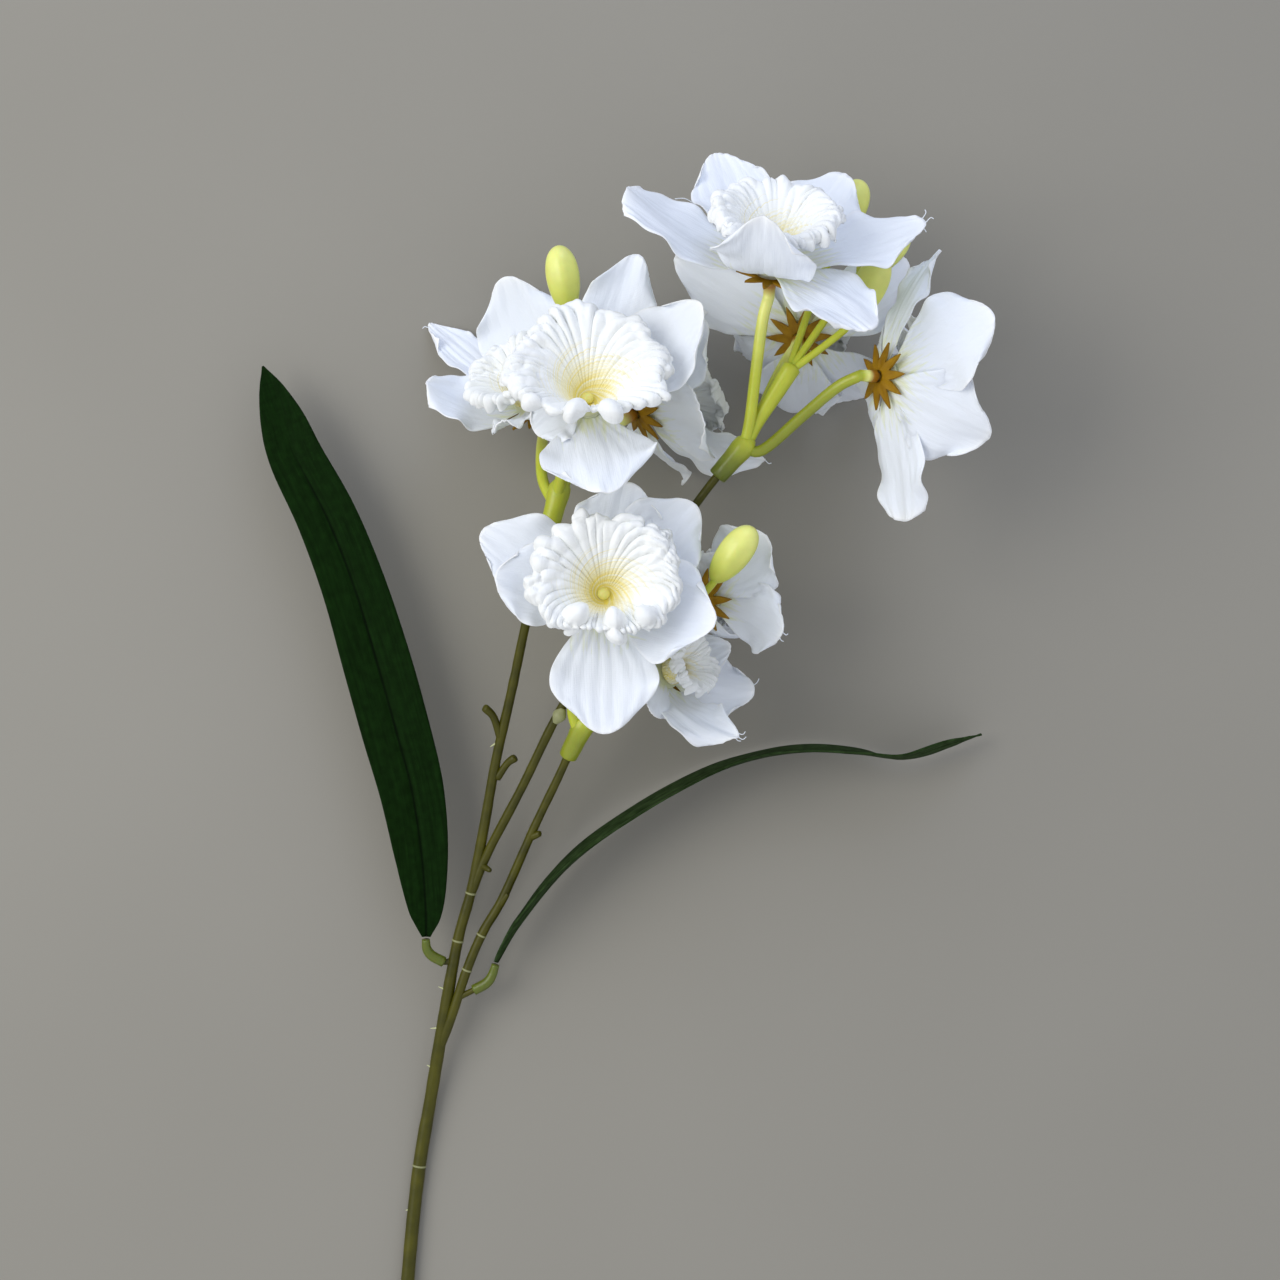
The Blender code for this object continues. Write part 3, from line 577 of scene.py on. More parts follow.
def bud(bm, root, points):
    """A stalk from the column and the bud on its end: an egg with shallow lengthwise grooves."""
    tint_layer = bm.verts.layers.float["tint"]
    route = smooth_route([root] + [(*point, 1.0) for point in points], 6)
    tube(bm, route, 10, [GREEN_TINT] * len(route))
    middle = place(*points[-1])
    heading = (middle - place(*(points[-2]))).normalized()
    turn = heading.to_track_quat("Z", "Y").to_matrix()
    for vert in ball(bm, 36, 24):
        rise = vert.co.z
        angle = math.atan2(vert.co.y, vert.co.x)
        groove = BUD_GROOVE_DEPTH * math.cos(BUD_GROOVES * angle) * (1 - rise * rise)
        girth = BUD_RADIUS * (1 + BUD_SWELL * rise) * (1 - groove)
        local = Vector((vert.co.x * girth, vert.co.y * girth, rise * BUD_LENGTH / 2))
        vert.co = middle + turn @ local * MM
        vert[tint_layer] = GREEN_TINT + (BUD_TINT - GREEN_TINT) * min(1.0, 0.6 + 0.5 * rise)


for side, plan in UMBELS.items():
    bm = bmesh.new()
    mouth, top = (Vector(point) for point in plan["sleeve"])
    along = (top - mouth).normalized()
    route = [(*(mouth + along * height), radius) for height, radius, _ in SLEEVE_PROFILE]
    # Painted light and shade: each sleeve is lifted to its umbel's least tint.
    tube(bm, route, 24, [max(tint, SLEEVE_PAINTED_LIGHT_AND_SHADE[side]) for *_, tint in SLEEVE_PROFILE])
    column = [(*point, radius) for point, radius in zip(plan["column"], COLUMN_RADII)]
    route = smooth_route(column, 6)
    crown = Vector(column[-1][:3])
    upward = (crown - Vector(column[-2][:3])).normalized()
    route.append(Vector((*(crown + upward * 0.8), 1.4)))
    tube(bm, route, 16, [GREEN_TINT] * len(route))
    root = (*(crown - upward * 2.0), 1.0)
    for points in plan["buds"]:
        bud(bm, root, points)
    for name, bloom in BLOOMS.items():
        if bloom.umbel != side:
            continue
        foot = bloom.hub + bloom.axis * (STALK_TOP - 5.0) * MM
        points = [(*place(*point), STALK_RADIUS) for point in bloom.stalk] + [(*foot, STALK_RADIUS)]
        route = smooth_route(points, 6)
        # Painted shade: a stalk in shade starts from a darker tint and browns less along its way.
        start = STALKS_IN_PAINTED_SHADE.get(name, GREEN_TINT)
        browning_from, browning = BROWNING
        browning *= start / GREEN_TINT
        shares = [max(0.0, index / len(route) - browning_from) for index in range(len(route))]
        tints = [start + browning * share for share in shares]
        for height, radius in (
            (STALK_TOP - 1.5, 1.05 * STALK_RADIUS),
            (STALK_TOP - 0.1, 1.15 * STALK_RADIUS),
            (STALK_TOP, SPIGOT_RADIUS),
            (SPIGOT_HEAD - 0.1, SPIGOT_RADIUS),
            (SPIGOT_HEAD, SPIGOT_HEAD_RADIUS),
            (SPIGOT_HEAD + 0.7, 0.9 * SPIGOT_HEAD_RADIUS),
            (SPIGOT_HEAD + 1.3, 0.45 * SPIGOT_HEAD_RADIUS),
        ):
            route.append(Vector((*(bloom.hub + bloom.axis * height * MM), radius)))
            tints.append(BROWN_TINT if height < 0 else HEAD_TINT)
        tube(bm, route, 16, tints, is_placed=True)
    finished("umbel_moulding_" + side, bm, lime, "umbel_" + side)

# Petals. Each bloom has six petals hot-pressed from white polyester silk, in two layers, with pressed-in
# lengthwise folds and stretched, wavy edges; airbrushed pale yellow-green where they meet the hub.
SILK = 0.7
CLOTH = 0.3
LAYER_STEP = 0.65
PETAL_ROOT = 2.6
CURL = 0.12
SWAY = 0.07
ROOT_LIFT = math.radians(8.0)
PETAL_FOOT = 0.15
PETAL_TAPER = 0.8
FLOOR_EASE = 0.4
PETAL_ROWS = 40
PETAL_COLUMNS = 30
HUB_RADIUS = 4.2
HUB_DEPTH = 2.0
# Heights in millimetres of the petal's ruffles, folds and creases.
LONG_RUFFLE, SHORT_RUFFLE = 1.5, 0.7
FOLD, CREASE, MEAN_CREASE = 1.6, 0.9, 0.22
RIB_TURNS = 11.0
RIDGE_MIDDLE = 0.6


def above_floor(spot):
    """The point, eased up where it would come near or under the surface that the spray lies on."""
    rise = spot.z / MM - SILK / 2
    spot.z = (SILK / 2 + 0.5 * (rise + math.hypot(rise, FLOOR_EASE))) * MM
    return spot


def bezier(start, middle, end, t):
    """The point at share t of a curve that bends toward its middle point."""
    return start * (1 - t) ** 2 + middle * 2 * t * (1 - t) + end * t * t


def ruffled(u, v, index):
    """Waves of the stretched edge, in millimetres: none along the middle, the most near the tip."""
    edge = abs(v) ** 2.6 * u**0.8
    long_wave = math.sin(10.5 * u + 2.7 * index + (1.9 if v > 0 else 0.0))
    short_wave = math.sin(23.0 * u + 4.1 * index + 1.3 * v)
    return edge * (LONG_RUFFLE * long_wave + SHORT_RUFFLE * short_wave)


def ridge(phase):
    """Ridges as a press leaves them: round on top, sharp between, and about level on the whole."""
    return abs(math.cos(phase)) - RIDGE_MIDDLE


def ribbed(u, v, index):
    """Fine lengthwise ribs that wander a little and fade toward both ends of the petal."""
    wander = 0.5 * math.sin(3.0 * u + index)
    fade = math.sin(math.pi * min(1.0, 0.12 + 0.8 * u))
    return ridge(RIB_TURNS * v * (1.1 - 0.25 * u) + wander) * fade


def folded(u, v, seed):
    """Two or three soft lengthwise folds, and creases with sharp valleys."""
    soft = noise.noise(Vector((1.5 * v, 0.8 * u, 0.0)) + seed)
    small = noise.noise(Vector((4.5 * v, 2.2 * u, 3.0)) + seed)
    return u**0.7 * (FOLD * soft + CREASE * (abs(small) - MEAN_CREASE))


def petal(bm, bloom, tip, width, twist, index, pleat, tip_round, elbow_share):
    """One petal: a grid laid along a bent middle line, with folds, waves and a few creases."""
    along_layer = bm.verts.layers.float["along"]
    warp_layer = bm.verts.layers.float["warp"]
    weft_layer = bm.verts.layers.float["weft"]
    edge_layer = bm.verts.layers.float["edge"]
    tip = place(*tip)
    reach = tip - bloom.hub
    flat = reach - bloom.axis * reach.dot(bloom.axis)
    spoke = flat.normalized()
    layer = bloom.axis * (LAYER_STEP * MM if index % 2 else -LAYER_STEP * MM)
    root = bloom.hub + spoke * PETAL_ROOT * MM + layer
    out = spoke * math.cos(ROOT_LIFT) + bloom.axis * math.sin(ROOT_LIFT)
    elbow = root + out * reach.length * elbow_share
    half = width / 2 * MM
    seed = Vector((reach.x * 1000, reach.y * 1000, 7.0 * index))
    cloth = bmesh.ops.create_grid(bm, x_segments=PETAL_ROWS, y_segments=PETAL_COLUMNS, size=0.5)
    for vert in cloth["verts"]:
        u, v = vert.co.x + 0.5, vert.co.y * 2
        along = u * (1 - tip_round * v * v * u * u)
        centre = bezier(root, elbow, tip, along)
        ahead = bezier(root, elbow, tip, along + 0.01) - bezier(root, elbow, tip, along - 0.01)
        ahead.normalize()
        across = ahead.cross(bloom.axis).normalized()
        across.rotate(Matrix.Rotation(math.radians(twist) * u, 3, ahead))
        front = across.cross(ahead)
        wide = half * (PETAL_FOOT + (1 - PETAL_FOOT) * math.sin(PETAL_TAPER * math.pi * u) ** 1.2)
        rise = CURL * wide * v * v * math.sin(math.pi * u)
        rise += SWAY * wide * v * math.sin(2.2 * math.pi * u + 2.1 * index)
        rise += (ruffled(u, v, index) + pleat * ribbed(u, v, index) + folded(u, v, seed)) * MM
        vert.co = above_floor(centre + across * wide * v + front * rise)
        vert[along_layer] = u
        vert[warp_layer] = v * wide / MM
        vert[edge_layer] = max(abs(v) ** 14 * u, u**22)
        vert[weft_layer] = u * reach.length / MM


# Woven polyester, hot-pressed: white, soft sheen, a fine weave and light that glows through it. Its cut
# edge, where the threads are loose, looks whitest.
EDGE_WHITE = "#FEFFFF"
THREAD_SPACING = 0.5
WAVE_PERIOD = 0.314


def silk_cloth(name, tip_code, root_code, streak_code, root_end):
    """The cloth's material, from the colour at its root to that of its tip."""
    made, tree = new_material(name)
    cloth, stretched = cloth_places(tree, 0.12)
    streak = cloud(tree, stretched, 0.9, 3.0)
    uneven = reckoned(tree, "MULTIPLY_ADD", streak, 0.9, -0.45)
    reach = reckoned(tree, "ADD", attribute(tree, "along"), uneven)
    rooted = ranged(tree, reach, {"From Min": 0.02, "From Max": root_end})
    colour = blend(tree, rooted, blend(tree, streak, root_code, streak_code), tip_code)
    colour = blend(tree, attribute(tree, "edge"), colour, EDGE_WHITE)
    # Threads every 0.5 mm, twice as coarse as real, so that they show.
    threads = []
    for way in ("X", "Y"):
        bands = {"Scale": WAVE_PERIOD / THREAD_SPACING, "bands_direction": way}
        threads.append(add(tree, "ShaderNodeTexWave", bands, {"Vector": cloth}).outputs["Fac"])
    weave = raised(tree, reckoned(tree, "MAXIMUM", *threads), 0.12, 0.0002)
    press = raised(tree, streak, 0.35, 0.0006, weave)
    soft = {"Roughness": 0.7, "Sheen Weight": 0.15, "Subsurface Weight": 0.25, "Subsurface Scale": 0.0015}
    surface(tree, colour, press, {**soft, "Subsurface Radius": (1.0, 1.0, 1.0)})
    return made


petal_silk = silk_cloth("pressed_white_polyester_silk", "#EEF3FB", "#DDE3A4", "#EFF3D8", 0.3)
# Petals that differ from the rest, by bloom and place: how deep the press marked their ribs, how round their
# tip is, and how far along its way the petal bends.
PLAIN_PLEAT, PLAIN_ROUND, PLAIN_ELBOW = 0.16, 0.2, 0.48
PLEATS = {("lower_front", 0): 0.5, ("lower_front", 3): 0.45, ("left_front", 0): 0.2}
TIP_ROUNDS = {
    ("right_side", 3): 0.07,
    ("left_front", 0): 0.34,
    ("right_top", 0): 0.08,
    ("left_side", 0): 0.08,
    ("lower_front", 1): 0.28,
    ("right_back", 0): 0.42,
}
ELBOWS = {("lower_right", 2): 0.3}
for name, bloom in BLOOMS.items():
    bm = bmesh.new()
    for layer_name in ("along", "warp", "weft", "edge"):
        bm.verts.layers.float.new(layer_name)
    for index, (tip, width, twist) in enumerate(bloom.petals):
        pleat = PLEATS.get((name, index), PLAIN_PLEAT)
        tip_round = TIP_ROUNDS.get((name, index), PLAIN_ROUND)
        elbow_share = ELBOWS.get((name, index), PLAIN_ELBOW)
        petal(bm, bloom, tip, width, twist, index, pleat, tip_round, elbow_share)
    turn = bloom.axis.to_track_quat("Z", "Y")
    hub_frame = Matrix.LocRotScale(bloom.hub, turn, Vector((1, 1, 1)))
    radius = HUB_RADIUS * MM
    disc = bmesh.ops.create_cone(
        bm, cap_ends=True, segments=24, radius1=radius, radius2=radius, depth=HUB_DEPTH * MM
    )
    bmesh.ops.transform(bm, matrix=hub_frame, verts=disc["verts"])
    finished("silk_petals_" + name, bm, petal_silk, "petals_" + name, CLOTH)

# Loose threads. Ends of the cloth's own white threads that hang from the cut tips of some petals. Each starts
# on the petal that it belongs to and is drawn thicker than real, so that it shows.
THREAD_RADIUS = 0.12
THREAD_SHARE = 0.55
# Each thread: its bloom, and about where it starts, bends and ends.
THREADS = [
    ("right_top", (12, 117, 52), (8, 118.5, 55), (3.5, 118, 57)),
    ("right_top", (73, 106, 60), (75, 108, 61), (76.5, 107.5, 61)),
    ("right_top", (72, 103, 60), (74, 103, 60.5), (75.2, 101.5, 60)),
    ("right_top", (72, 109, 60), (73.5, 111.5, 60.5), (73, 113, 60.5)),
    ("lower_side", (37.5, 2, 44), (39, 0.8, 44), (40, 1.4, 43.5)),
    ("lower_side", (36, 1, 44), (37, -1, 44), (38.2, -1.6, 44)),
    ("lower_right", (26, -25.6, 44), (28, -26.6, 44), (29.6, -25.4, 43.5)),
    ("lower_right", (24.5, -26.5, 43), (26, -28.4, 43), (27.6, -28.8, 42.5)),
    ("lower_right", (27, -24, 44), (29, -24.4, 44), (30.2, -23, 44)),
    ("lower_right", (31, -12, 22), (32.6, -10.6, 23), (33.4, -8.8, 23)),
    ("left_side", (-58.5, 87, 2), (-60.2, 87.6, 2.2), (-61.4, 86.6, 2.4)),
    ("left_back", (33, 47.5, 28), (34.6, 46, 28), (36, 46.2, 28)),
]
for name in sorted({thread[0] for thread in THREADS}):
    bm = bmesh.new()
    cloth_spots = [vert.co.copy() for vert in bpy.data.objects["silk_petals_" + name].data.vertices]
    for owner, start, bend, end in THREADS:
        if owner != name:
            continue
        aim = place(*start)
        root = min(cloth_spots, key=lambda spot: (spot - aim).length_squared)
        drift = root - aim
        spots = [root] + [root + (place(*spot) + drift - root) * THREAD_SHARE for spot in (bend, end)]
        route = smooth_route([(*spot, THREAD_RADIUS) for spot in spots], 4)
        tube(bm, route, 6, [0.0] * len(route), is_placed=True)
    along_layer = bm.verts.layers.float.new("along")
    for vert in bm.verts:
        vert[along_layer] = 1.0
    finished("loose_threads_" + name, bm, petal_silk, None)

# Coronas. Each bloom's trumpet is one disc of the same silk, pressed into a funnel with deep pleats, its
# rim stretched until it rolls over in lobes. The throat is airbrushed golden yellow in streaks.
BORE_RADIUS = 1.41
CORONA_BASE = 1.75
# The funnel from its bore to its rim, as shares of the rim's radius and of the height, and the lip that rolls
# over past the rim, as a share of the radius and a drop in millimetres.
THROAT_FOOT = (3.4, 0.6)
FUNNEL = [(0.36, 0.42), (0.55, 0.7), (0.8, 0.93), (0.97, 1.0)]
LIP = [(1.04, 1.2), (1.02, 2.4)]
LIP_ROLL = 0.2
LIP_WAVE = 2.2
GATHERING = 0.14
CORONA_ROWS = 48
PLEAT_SAMPLES = 8
THROAT_SHARE = 0.3
# How deep the ribs are, as shares of the space between two: in the throat, and how much more at the rim.
RIB_DEPTH, RIM_RIB_DEPTH, LEAST_RIB = 0.32, 0.5, 0.25
RIB_SWAY = 0.95
# Round knobs on the inner wall, by bloom: angle in degrees, share of the way to the rim, radius, and rise as
# a share of the radius.
KNOBS = {
    "left_front": [(-14, 0.84, 3.0, 1.0), (23, 0.85, 3.0, 1.0), (-56, 0.84, 2.4, 0.9)],
    "lower_front": [(-46, 0.5, 3.3, 1.6), (17, 0.5, 3.1, 1.7), (54, 0.56, 2.8, 1.5)],
}
# Where the ribs lean over sideways, as (angle, half-width, strength), and where the rim is beaded, as
# (angle, half-width).
PLAIN_LEANS = [(100, 45, 12), (-110, 45, -10)]
PLAIN_BEADED = (-100, 25)
LEANS = {"lower_front": [(112, 48, 24), (-70, 40, -14)], "left_front": [(128, 40, 15), (-115, 40, -13)]}
BEADED = {"lower_front": (-112, 42), "left_front": (-84, 30)}
BEAD = 3.4
BEAD_HEIGHT = 0.75
BEAD_SPREAD = 0.72
KNOB_EDGE, KNOB_FADE = 0.7, 0.8
# Heights in millimetres of the cloth's rolled arcs, folds and crumples.
ARC, FOLDED, CRUMPLED = 1.7, 3.0, 1.1
LARGE_RIM = 14
LARGE_PLEATS, SMALL_PLEATS = 40, 28


def corona(bm, bloom, pleats, knobs, leans, beaded):
    """The disc as a grid wrapped round the hub: a funnel with ribs, gathered ruffles and round knobs."""
    rim, height, drawn_in = bloom.corona
    along_layer = bm.verts.layers.float.new("along")
    warp_layer = bm.verts.layers.float.new("warp")
    weft_layer = bm.verts.layers.float.new("weft")
    profile = [(BORE_RADIUS, 0), THROAT_FOOT] + [(out * rim, up * height) for out, up in FUNNEL]
    profile += [(out * rim, height - drop) for out, drop in LIP]
    line = smooth_route(profile, 8)
    length = len(line) - 1
    seed = bloom.axis * 7.0

    def wall(angle, share):
        """A point of the plain funnel as (radius, height) and the way that its inner face looks."""
        step = min(int(share * length), length - 1)
        ahead = (line[step + 1] - line[step]).normalized()
        spot = line[step].lerp(line[step + 1], share * length - step)
        around = Vector((math.cos(angle), math.sin(angle), 0.0))
        roll = noise.noise(around * 2.4 + seed * 3) + 0.6 * noise.noise(around * 5.5 + seed)
        low = max(0.0, math.cos(angle))
        lip = 1 - (drawn_in + GATHERING * (drawn_in > 0)) * share * low**2 + LIP_ROLL * share**3 * roll
        spot = Vector((spot.x * lip, spot.y + LIP_WAVE * share**3 * roll))
        return spot, Vector((-ahead.y, ahead.x)), around

    def whole(spot, angle):
        """A (radius, height) point at an angle, with the hub as origin."""
        return Vector((spot.x * math.cos(angle), spot.x * math.sin(angle), spot.y))

    def nearness(angle, centre, spread):
        """How near an angle is to a centre in degrees: 1 there, and falling off past the spread."""
        apart = (angle - math.radians(centre) + math.pi) % math.tau - math.pi
        return math.exp(-((apart / math.radians(spread)) ** 2))

    def ripple(around, fineness, turn, rise=0.0):
        """Soft noise round the funnel; the turn picks another one, and the rise is its change up the wall."""
        return noise.noise(around * fineness + seed * turn + Vector((0, 0, rise)))

    balls = []
    for turn, share, size, rise in knobs:
        spot, *_ = wall(math.radians(turn), share)
        balls.append((whole(spot, math.radians(turn)), size, rise))
    columns = pleats * PLEAT_SAMPLES
    cloth = bmesh.ops.create_grid(bm, x_segments=columns, y_segments=CORONA_ROWS, size=0.5)
    for vert in cloth["verts"]:
        angle = (vert.co.x + 0.5) * math.tau
        share = vert.co.y + 0.5
        spot, face, around = wall(angle, share)
        outer = max(0.0, share - THROAT_SHARE) / (1 - THROAT_SHARE)
        drift = 2.6 * ripple(around, 1.7, 1) + 1.5 * ripple(around, 3.9, 1)
        lean = outer**1.6 * sum(strength * nearness(angle, *where) for *where, strength in leans)
        phase = 0.5 * pleats * angle + 2.0 * drift * share + lean
        uneven = 1 + 1.5 * ripple(around, 3.1, 2, 1.9 * share)
        small = ripple(around, 11.0, 1, 4.0 * share)
        gather = math.tau * spot.x / pleats
        rib = ridge(phase) * gather * (RIB_DEPTH + RIM_RIB_DEPTH * outer) * max(LEAST_RIB, uneven)
        rolled = outer * min(1.0, max(0.0, 0.15 + 2.6 * ripple(around, 1.3, 4)))
        arcs = ridge(10.0 * share + 2.2 * drift + math.sin(2 * angle))
        crumple = ripple(around, 2.9, 5, 0.9 * share)
        folds = ridge(5.5 * angle + 1.6 * drift) * max(0.0, 0.6 + 1.6 * crumple)
        rib = rib * (1 - 0.75 * rolled) + ARC * arcs * rolled
        rib += outer * (CRUMPLED * small + FOLDED * folds * outer)
        cluster = min(1.0, 1.5 * outer) * nearness(angle, *beaded)
        apart = noise.voronoi(whole(spot, angle) / BEAD)[0][0]
        bead = BEAD * BEAD_HEIGHT * math.sqrt(max(0.0, 1 - (apart / BEAD_SPREAD) ** 2))
        rib = rib * (1 - 0.8 * cluster) + cluster * (bead - 0.8)
        flat, lift = 1.0, 0.0
        for centre, size, rise in balls:
            near = (whole(spot, angle) - centre).length / size
            flat *= min(1.0, max(0.0, near - KNOB_EDGE) / KNOB_FADE)
            lift = max(lift, rise * size * math.sqrt(max(0.0, 1 - near * near)))
        turn = angle + RIB_SWAY / pleats * outer * math.sin(2 * phase) * flat
        spot = spot + face * (rib * flat + lift)
        vert.co = above_floor(bloom.at(max(spot.x, BORE_RADIUS), turn, CORONA_BASE + spot.y))
        vert[along_layer] = share
        vert[warp_layer] = angle * spot.x
        vert[weft_layer] = share * 1.6 * rim
    bmesh.ops.remove_doubles(bm, verts=bm.verts, dist=1e-6)


corona_silk = silk_cloth("pleated_white_polyester_silk", "#FAFBF8", "#EACD18", "#F5EA86", 0.43)
for name, bloom in BLOOMS.items():
    bm = bmesh.new()
    leans = LEANS.get(name, PLAIN_LEANS)
    pleats = LARGE_PLEATS if bloom.corona[0] > LARGE_RIM else SMALL_PLEATS
    corona(bm, bloom, pleats, KNOBS.get(name, []), leans, BEADED.get(name, PLAIN_BEADED))
    finished("silk_corona_" + name, bm, corona_silk, "corona_" + name, CLOTH)

# Calyxes. Under each bloom a golden-brown star of thin moulded plastic, threaded on the spigot, holds the
# silk; its ten pointed teeth lie against the backs of the petals.
CALYX_TEETH = 10
CALYX_RADIUS = 9.0
CALYX_BORE = 1.5
CALYX_DISC = 4.05
CALYX_FOOT = -2.5
CALYX_RISE = 1.35
CALYX_WALL = 0.6
TOOTH_SAMPLES = 8
gold, tree = new_material("moulded_golden_brown_plastic")
mottle = cloud(tree, own_place(tree), 1000 / 3.0, 3.0)
colour = blend(tree, mottle, "#6E4803", "#B08606")
surface(tree, colour, raised(tree, mottle, 0.3, 0.0002), {"Roughness": 0.5, "Specular IOR Level": 0.25})
for name, bloom in BLOOMS.items():
    bm = bmesh.new()
    star = bmesh.ops.create_grid(bm, x_segments=CALYX_TEETH * TOOTH_SAMPLES, y_segments=8, size=0.5)
    for vert in star["verts"]:
        angle = (vert.co.x + 0.5) * math.tau
        share = vert.co.y + 0.5
        tooth = 1 - abs(2 * ((angle / math.tau * CALYX_TEETH) % 1.0) - 1)
        edge = CALYX_DISC + (CALYX_RADIUS - CALYX_DISC) * tooth**1.3
        radius = CALYX_BORE + (edge - CALYX_BORE) * share
        out = min(1.0, max(0.0, (radius - CALYX_BORE) / (CALYX_RADIUS - CALYX_BORE)))
        height = CALYX_FOOT + CALYX_RISE * out - 0.25 * (1 - tooth) * share
        vert.co = bloom.at(radius, angle, height)
    bmesh.ops.remove_doubles(bm, verts=bm.verts, dist=1e-6)
    finished("calyx_star_" + name, bm, gold, "calyx_" + name, CALYX_WALL)

# Leaves. Two long straps cut from green polyester cloth, stiffened and hot-pressed with a groove along the
# middle and fine lengthwise veins. The left one lies face up, the right one stands on its edge.
LEAF_CLOTH = 0.5
LEAVES = {
    "left": {
        "line": [
            (-58.5, -81.2, 12.2, 2.4),
            (-58.5, -73.6, 13.5, 9.5),
            (-59.6, -58.6, 14.5, 14.6),
            (-62.1, -41.4, 15, 17.5),
            (-66.6, -24.3, 15, 18.7),
            (-71.7, -6, 15, 18.7),
            (-78, 14.7, 15, 17.5),
            (-85.3, 33.2, 14.5, 16.5),
            (-93.6, 49.3, 14, 14.9),
            (-97.3, 59, 13.5, 12.6),
            (-100.6, 68.1, 13, 7.2),
            (-103.2, 74.9, 12, 0.5),
        ],
        "across": [(1.0, 0.05, 0.0)] * 12,
    },
    "right": {
        "line": [
            (-39.3, -88.2, 10.8, 2.4),
            (-32.5, -77, 12.5, 9.0),
            (-19, -61, 13.5, 14.0),
            (-0.5, -47.5, 13, 17.5),
            (18.5, -37, 12, 19.0),
            (32, -32.2, 11.5, 19.0),
            (46, -30.3, 11, 18.0),
            (60, -31, 10.5, 16.0),
            (72, -32.5, 9.5, 12.5),
            (84, -29.3, 7.5, 8.5),
            (94.3, -26.1, 5, 0.8),
        ],
        "across": [(0.03, -0.08, 1.0)] * 5
        + [(0.0, -0.03, 1.0)] * 3
        + [(-0.05, 0.1, 1.0)]
        + [(-0.1, 0.3, 1.0)] * 2,
    },
}
LEAF_ROWS_PER_STRETCH = 8
LEAF_COLUMNS = 20
# How far each blade is folded along its middle, and how much more at its foot.
LEAF_FOLDS = {"left": (0.08, 0.0), "right": (0.08, 6.0)}
GROOVE_DEPTH = 0.35
GROOVE_WIDTH = 0.7
VEIN_HEIGHT = 0.05
WAVE_HEIGHT = 0.25
ROW_LENGTH = 2.0
FOOT_ROWS = 10
# The groove runs out between these shares of the leaf's length, and its tip is plain.
GROOVE_END = (0.68, 0.79)


def strap(bm, plan, fold, pinch):
    """The blade: a grid along a smooth middle line, folded a little, with a groove and a soft wave."""
    warp_layer = bm.verts.layers.float.new("warp")
    weft_layer = bm.verts.layers.float.new("weft")
    plain_layer = bm.verts.layers.float.new("plain")
    line = smooth_route(plan["line"], LEAF_ROWS_PER_STRETCH)
    ways = smooth_route(plan["across"], LEAF_ROWS_PER_STRETCH)
    count = len(line)
    cloth = bmesh.ops.create_grid(bm, x_segments=count - 1, y_segments=LEAF_COLUMNS, size=0.5)
    for vert in cloth["verts"]:
        index = round((vert.co.x + 0.5) * (count - 1))
        v = vert.co.y * 2
        ahead = (line[min(index + 1, count - 1)].xyz - line[max(index - 1, 0)].xyz).normalized()
        across = (ways[index] - ahead * ways[index].dot(ahead)).normalized()
        face = across.cross(ahead)
        half = line[index][3] / 2
        share = (index / (count - 1) - GROOVE_END[0]) / (GROOVE_END[1] - GROOVE_END[0])
        plain = min(1.0, max(0.0, share))
        rise = fold * (1 + pinch * math.exp(-index / FOOT_ROWS)) * half * abs(v)
        rise -= GROOVE_DEPTH * (1 - plain) * math.exp(-((v * half / GROOVE_WIDTH) ** 2))
        rise += VEIN_HEIGHT * math.cos(v * half * 3.3) + WAVE_HEIGHT * v * math.sin(index * 0.22)
        vert.co = place(*line[index][:3]) + (across * half * v + face * rise) * MM
        vert[warp_layer] = v * half
        vert[weft_layer] = index * ROW_LENGTH
        vert[plain_layer] = plain


# Green polyester cloth, coated: dark satin, a darker line of painted shade in the groove, faint veins and a
# fine weave.
def leaf_cloth(name, dark_code, light_code):
    """The leaf's material, between a dark and a light green."""
    made, tree = new_material(name)
    cloth, stretched = cloth_places(tree, 0.06)
    vein = cloud(tree, stretched, 1.1, 4.0)
    mixed = reckoned(tree, "MULTIPLY", vein, cloud(tree, cloth, 0.4, 5.0))
    spread = ranged(tree, mixed, {"From Min": 0.12, "From Max": 0.42})
    colour = blend(tree, spread, dark_code, light_code)
    # Painted shade: the colour is darkened along the pressed groove in the middle, and no longer where the
    # groove runs out.
    from_middle = reckoned(tree, "ABSOLUTE", attribute(tree, "warp"))
    from_groove = reckoned(tree, "ADD", from_middle, attribute(tree, "plain"))
    groove = ranged(tree, from_groove, {"From Max": 0.6, "To Min": 0.25, "To Max": 1.0})
    relief = raised(tree, vein, 0.35, 0.0004)
    surface(tree, times(tree, colour, groove), relief, {"Roughness": 0.6, "Specular IOR Level": 0.03})
    return made


leaf_materials = {
    "left": leaf_cloth("coated_dark_green_polyester", "#081A03", "#102808"),
    "right": leaf_cloth("coated_grey_green_polyester", "#1A2A0F", "#3A4E2C"),
}
for side, plan in LEAVES.items():
    bm = bmesh.new()
    strap(bm, plan, *LEAF_FOLDS[side])
    finished("strap_leaf_" + side, bm, leaf_materials[side], "leaf_" + side, LEAF_CLOTH)

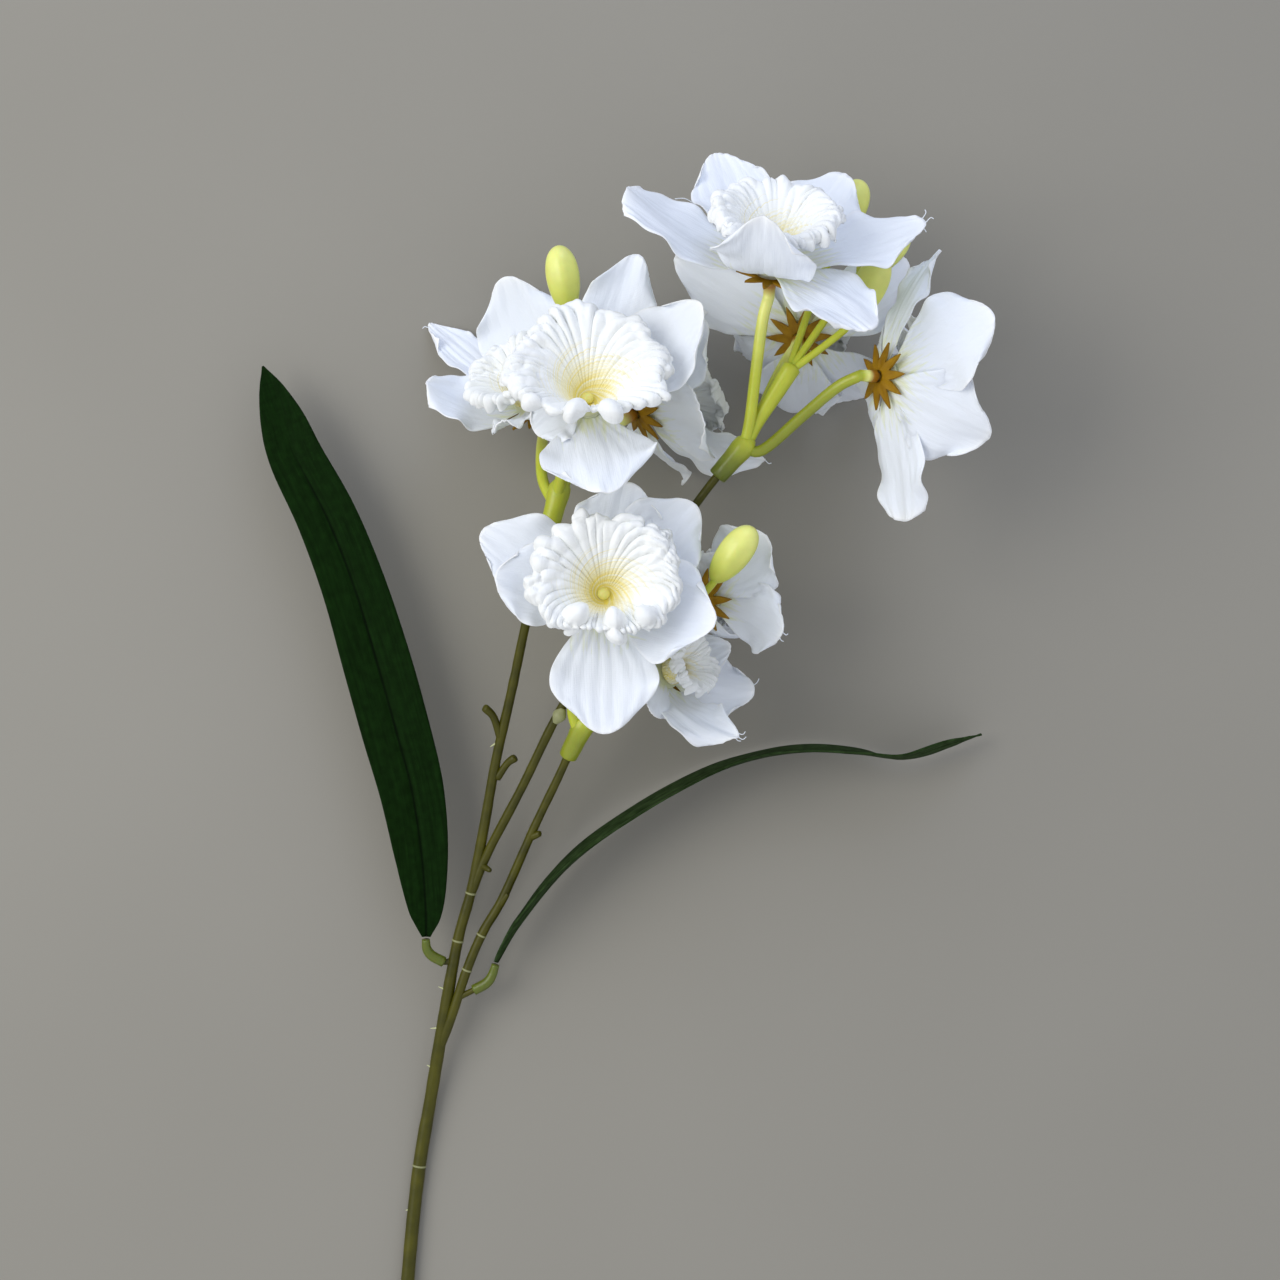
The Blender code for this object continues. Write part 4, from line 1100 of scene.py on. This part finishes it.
# Leaf sleeves. A short bent tube of light green polyethylene joins each leaf's foot to its peg on the stem.
# It is pushed over both and holds by its own tightness.
LEAF_SLEEVES = {
    "left": [
        (-53.9, -88.4, 9.6, 1.5),
        (-57.0, -86.6, 10.4, 1.45),
        (-58.4, -84.6, 11.2, 1.3),
        (-58.6, -82.0, 12, 1.1),
    ],
    "right": [
        (-45.6, -96.1, 9.3, 1.5),
        (-42.2, -94.2, 9.7, 1.45),
        (-40.6, -92, 10, 1.3),
        (-39.6, -89, 10.6, 1.1),
    ],
}
for side, points in LEAF_SLEEVES.items():
    bm = bmesh.new()
    route = smooth_route(points, 6)
    tube(bm, route, 16, [SLEEVE_TINT] * len(route))
    finished("leaf_tube_" + side, bm, lime, "leaf_sleeve_" + side)

# Studio: a plain pale floor, one large soft light from the upper left and a cool soft fill, and a camera
# that looks straight down from the photograph's distance.
CAMERA_HEIGHT = 740.0
VIEW_SIDE = 336.84
VIEW_HEIGHT = 40.0
FLOOR_HALF = 6.0
bm = bmesh.new()
bmesh.ops.create_grid(bm, x_segments=1, y_segments=1, size=FLOOR_HALF)
mesh = bpy.data.meshes.new("floor")
bm.to_mesh(mesh)
bm.free()
floor = bpy.data.objects.new("floor", mesh)
bpy.context.scene.collection.objects.link(floor)
paper, tree = new_material("pale_grey_paper")
colour = blend(tree, cloud(tree, own_place(tree), 6.0, 2.0), "#8B877D", "#969288")
surface(tree, colour, None, {"Roughness": 0.9})
mesh.materials.append(paper)

middle = place(0, 0, 0)
camera = bpy.data.objects.new("camera", bpy.data.cameras.new("camera"))
bpy.context.scene.collection.objects.link(camera)
camera.location = middle + Vector((0, 0, CAMERA_HEIGHT * MM))
camera.data.angle = 2 * math.atan(VIEW_SIDE / 2 / (CAMERA_HEIGHT - VIEW_HEIGHT))
camera.data.clip_start = 0.01
bpy.context.scene.camera = camera


def soft_light(name, where, size, power, code):
    """A square lamp, placed in metres from the middle of the picture and turned to look at it."""
    lamp = bpy.data.lights.new(name, "AREA")
    lamp.size = size
    lamp.energy = power
    lamp.color = linear(code)[:3]
    made = bpy.data.objects.new(name, lamp)
    bpy.context.scene.collection.objects.link(made)
    made.location = middle + Vector(where)
    made.rotation_euler = Vector(where).to_track_quat("Z", "Y").to_euler()


soft_light("key", (-0.8, 0.2, 0.85), 0.8, 7.0, "#FFFEFA")
soft_light("fill", (0.2, 0.95, 0.5), 0.6, 2.4, "#B8CEFF")
world = bpy.data.worlds.new("studio")
bpy.context.scene.world = world
world.use_nodes = True
world.node_tree.nodes["Background"].inputs["Color"].default_value = linear("#E1E5EE")
world.node_tree.nodes["Background"].inputs["Strength"].default_value = 0.88
bpy.context.scene.view_settings.view_transform = "Standard"
